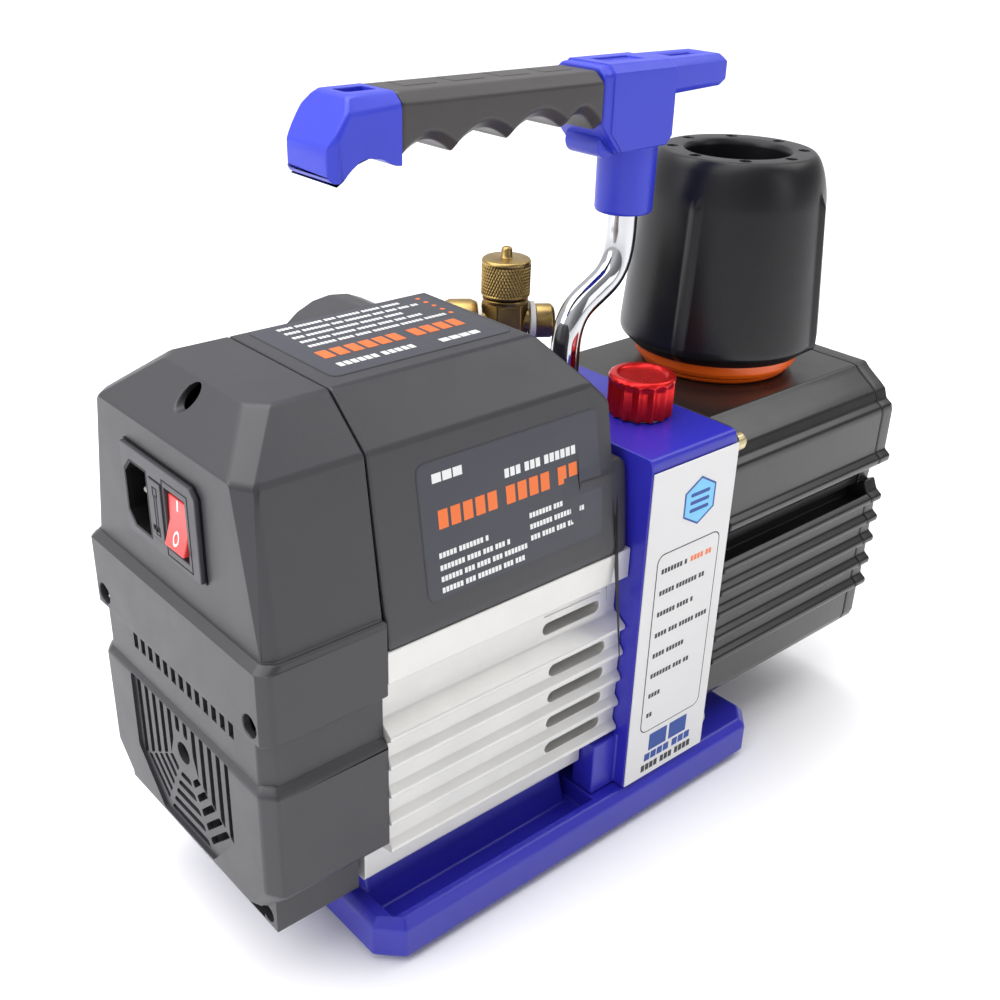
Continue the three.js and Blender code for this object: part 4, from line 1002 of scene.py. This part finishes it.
def make_top_label():
    """The label on the cover's roof: a heading, rows of bars and a dot at the end of each row."""
    rng = random.Random(11)
    to = (0, 0, -1)
    host = "control_cover"
    applied("top_label_edge", [rounded_rect(-113.8, -24.4, -35.6, 29.8, 3.4)], on_top, to, host, EDGE_LIFT,
            PAPER_EDGE)
    applied("top_label", [rounded_rect(-113.3, -23.9, -36.1, 29.3, 3)], on_top, to, host, FILM_LIFT,
            LABEL_GREY)
    applied("top_heading", word_bars(-106, -41, -8.6, 7.2, rng), on_top, to, host, INK_LIFT, INK_ORANGE)
    white = word_bars(-106, -74, -17.6, 3.4, rng) + word_bars(-64, -46, -19, 3.2, rng, 1.2)
    dots = []
    for row in range(5):
        v = 3.6 + row * 5.0
        white += word_bars(-104, -44 - 6 * (row % 3), v, 2.0, rng)
        dots.append(rounded_rect(-42.4, v, -40.4, v + 2, 0.9, 3))
    applied("top_text", white, on_top, to, host, INK_LIFT, INK_WHITE)
    applied("top_bullets", dots, on_top, to, host, INK_LIFT, INK_ORANGE)


MARK = {"x": 25, "z": 150.4, "inner": 9.6, "outer": 10.5}
PLATE_ROWS = {"ends": (22, 35, 28, 38, 26, 30, 14, 11), "top": 123.4, "pitch": 9.9}


def mark_corner(radius, i):
    """A corner of the hexagon mark."""
    angle = math.radians(60 * i + 30)
    return (MARK["x"] + radius * math.cos(angle), MARK["z"] + radius * math.sin(angle))


def make_plate_label():
    """The plate's print: a plain hexagon mark, a framed field with eight rows, and a name in bars."""
    rng = random.Random(5)

    def print_on(name, outlines, material, lift=PLATE_LIFT):
        applied(name, outlines, on_side, (0, 1, 0), "label_plate", lift, material)

    print_on("plate_frame", [rounded_rect(3.4, 46.6, 40.6, 132.6, 4)], INK_BLACK, (-0.1, 0.05))
    print_on("plate_field", [rounded_rect(3.9, 47.1, 40.1, 132.1, 3.6)], LABEL_WHITE, (-0.1, 0.08))
    lines = []
    for row, end in enumerate(PLATE_ROWS["ends"]):
        lines += word_bars(6.4, end, PLATE_ROWS["top"] - PLATE_ROWS["pitch"] * row, 2.2, rng)
    print_on("plate_text", lines, INK_BLACK)
    print_on("plate_code", word_bars(23.6, 36.4, PLATE_ROWS["top"], 2.4, rng), INK_ORANGE)
    inner, outer = MARK["inner"], MARK["outer"]
    print_on("plate_mark", [[mark_corner(inner, i) for i in range(6)]], INK_PALE, (-0.1, 0.07))
    ring = [[mark_corner(inner, i), mark_corner(outer, i), mark_corner(outer, i + 1),
             mark_corner(inner, i + 1)] for i in range(6)]
    bars = [rounded_rect(19.4, v, 30.6, v + 1.6, 0.7, 3) for v in (146.2, 149.6, 153.0)]
    print_on("plate_mark_lines", ring + bars, INK_BLUE)
    print_on("plate_name", word_bars(10, 38, 35.6, 8.4, rng, 1.3), INK_BLUE)
    print_on("plate_name_2", word_bars(8, 39, 30.6, 3.6, rng, 0.9), INK_BLUE)
    print_on("plate_foot", word_bars(6.6, 39, 25.4, 3.2, rng), INK_BLACK)


# ---- power module details ----
MODULE_FACE = -166.7
SOCKET = {"y": (7.0, 23.4), "z": (165.0, 190.0), "bite": 4.6, "deep": -148.0}
SOCKET_CENTRE = (15.2, 177.5)
PIN_HALF = (2.0, 1.0)
DRAWER_FACE = MODULE_FACE - 0.4
HAIRLINE = (0.12, 0.2)
ROCKER_BEZEL = {"y": (-20.4, -3.6), "z": (163.6, 191.2), "line": 0.35}
CIRCLE_MARK = {"y": -11.45, "z": 173.0, "inner": 1.7, "outer": 2.5, "squash": 0.72}


def socket_outline(grow):
    """The socket's mouth, with two corners cut off on one side."""
    (y0, y1), (z0, z1), bite = SOCKET["y"], SOCKET["z"], SOCKET["bite"]
    y0, y1, z0, z1 = y0 - grow, y1 + grow, z0 - grow, z1 + grow
    return [(y0, z0), (y1 - bite, z0), (y1, z0 + bite), (y1, z1 - bite), (y1 - bite, z1), (y0, z1)]


def framed(y0, y1, z0, z1, line):
    """Four thin strips round a rectangle, as ((y, z), (y, z)) corners."""
    return [((y0, z0), (y1, z0 + line)), ((y0, z1 - line), (y1, z1)),
            ((y0, z0), (y0 + line, z1)), ((y1 - line, z0), (y1, z1))]


def hairlines(name, strips, face, body="pump"):
    """Dark strips that straddle a face square to X, a little below and a little above it."""
    low, high = face - HAIRLINE[0], face + HAIRLINE[1]
    blocks = [block((low, a, b), (high, c, d)) for (a, b), (c, d) in strips]
    new_object(name, together(*blocks), SHADE_AND_SEAM_BLACK, body)


def make_socket():
    """A near-black lining and floor inside the socket as painted shade, and its three pins."""
    mouth, deep = MODULE_FACE + 0.1, SOCKET["deep"]
    outer, inner = socket_outline(-0.05), socket_outline(-0.8)
    loops = [[(x, y, z) for y, z in outline]
             for x, outline in ((mouth, outer), (deep, outer), (deep, inner), (mouth, inner))]
    mesh = bmesh.new()
    rings = [[mesh.verts.new(p) for p in loop] for loop in loops]
    for low, high in zip(rings, rings[1:] + rings[:1]):
        for i in range(len(low)):
            j = (i + 1) % len(low)
            mesh.faces.new((low[i], low[j], high[j], high[i]))
    new_object("socket_shade_lining", mesh, SHADE_AND_SEAM_BLACK, "pump")
    floor = lofted([[(x, y, z) for y, z in socket_outline(-0.9)] for x in (deep - 0.4, deep + 0.2)])
    new_object("socket_shade_floor", floor, SHADE_AND_SEAM_BLACK, "pump")
    half_y, half_z = PIN_HALF
    for number, (dz, dy) in enumerate(((0, 2.2), (-7, -1.6), (7, -1.6))):
        y, z = SOCKET_CENTRE[0] + dy, SOCKET_CENTRE[1] + dz
        rounded_box(f"socket_pin_{number + 1}", (deep - 14.6, y - half_y, z - half_z),
                    (deep - 0.8, y + half_y, z + half_z), 0.8, PIN_METAL, "pump")


def make_module_details():
    """The socket, the lines round the rocker and on the drawer, a near-black rim of painted gap shade round
    the module's flange, and the rocker's marks.
    """
    make_socket()
    bezel = framed(*ROCKER_BEZEL["y"], *ROCKER_BEZEL["z"], ROCKER_BEZEL["line"])
    hairlines("rocker_bezel", bezel, MODULE_FACE)
    catches = []
    for z in (170.4, 184.8):
        catches += framed(-0.3, 2.6, z - 1.6, z + 1.6, 0.35)
    catches += [((0.2, 172), (0.5, 183.2)), ((1.7, 172), (2.0, 183.2))]
    hairlines("drawer_lines", catches, DRAWER_FACE, "fuse_carrier")
    # Painted shade in the gap round the module: a near-black rim behind the flange that shows just past its
    # edge.
    rim = eased_loop([(-25.6, 161.3), (25.6, 161.3), (25.6, 195.5), (-22.2, 195.5), (-25.6, 192.1)], 0.8)
    gasket = new_object("module_gap_shade", prism(rim, -165.0, -164.55), SHADE_AND_SEAM_BLACK, "pump")
    carve(gasket, block((-167, -22.3, 164.6), (-163, 22.3, 192.2)))
    to = (1, 0, 0)
    line = [rounded_rect(-11.9, 182.4, -11.0, 186.4, 0.3, 2)]
    applied("switch_on_mark", line, on_rear, to, "rocker_switch", (-0.1, 0.15), INK_WHITE, "rocker")
    segments = 24
    inner, outer, squash = (CIRCLE_MARK[key] for key in ("inner", "outer", "squash"))
    y, z = CIRCLE_MARK["y"], CIRCLE_MARK["z"]
    ring = []
    for i in range(segments):
        a, b = (2 * math.pi * (i + k) / segments for k in (0, 1))
        ring.append([(y + r * squash * math.cos(t), z + r * math.sin(t)) for r, t in
                     ((inner, a), (outer, a), (outer, b), (inner, b))])
    applied("switch_off_mark", ring, on_rear, to, "rocker_switch", (-0.1, 0.15), INK_WHITE, "rocker")


make_camera()
make_floor()
make_light()
make_castings()
make_covers()
make_hidden()
make_handle()
make_fittings()
make_side_label()
make_top_label()
make_plate_label()
make_module_details()
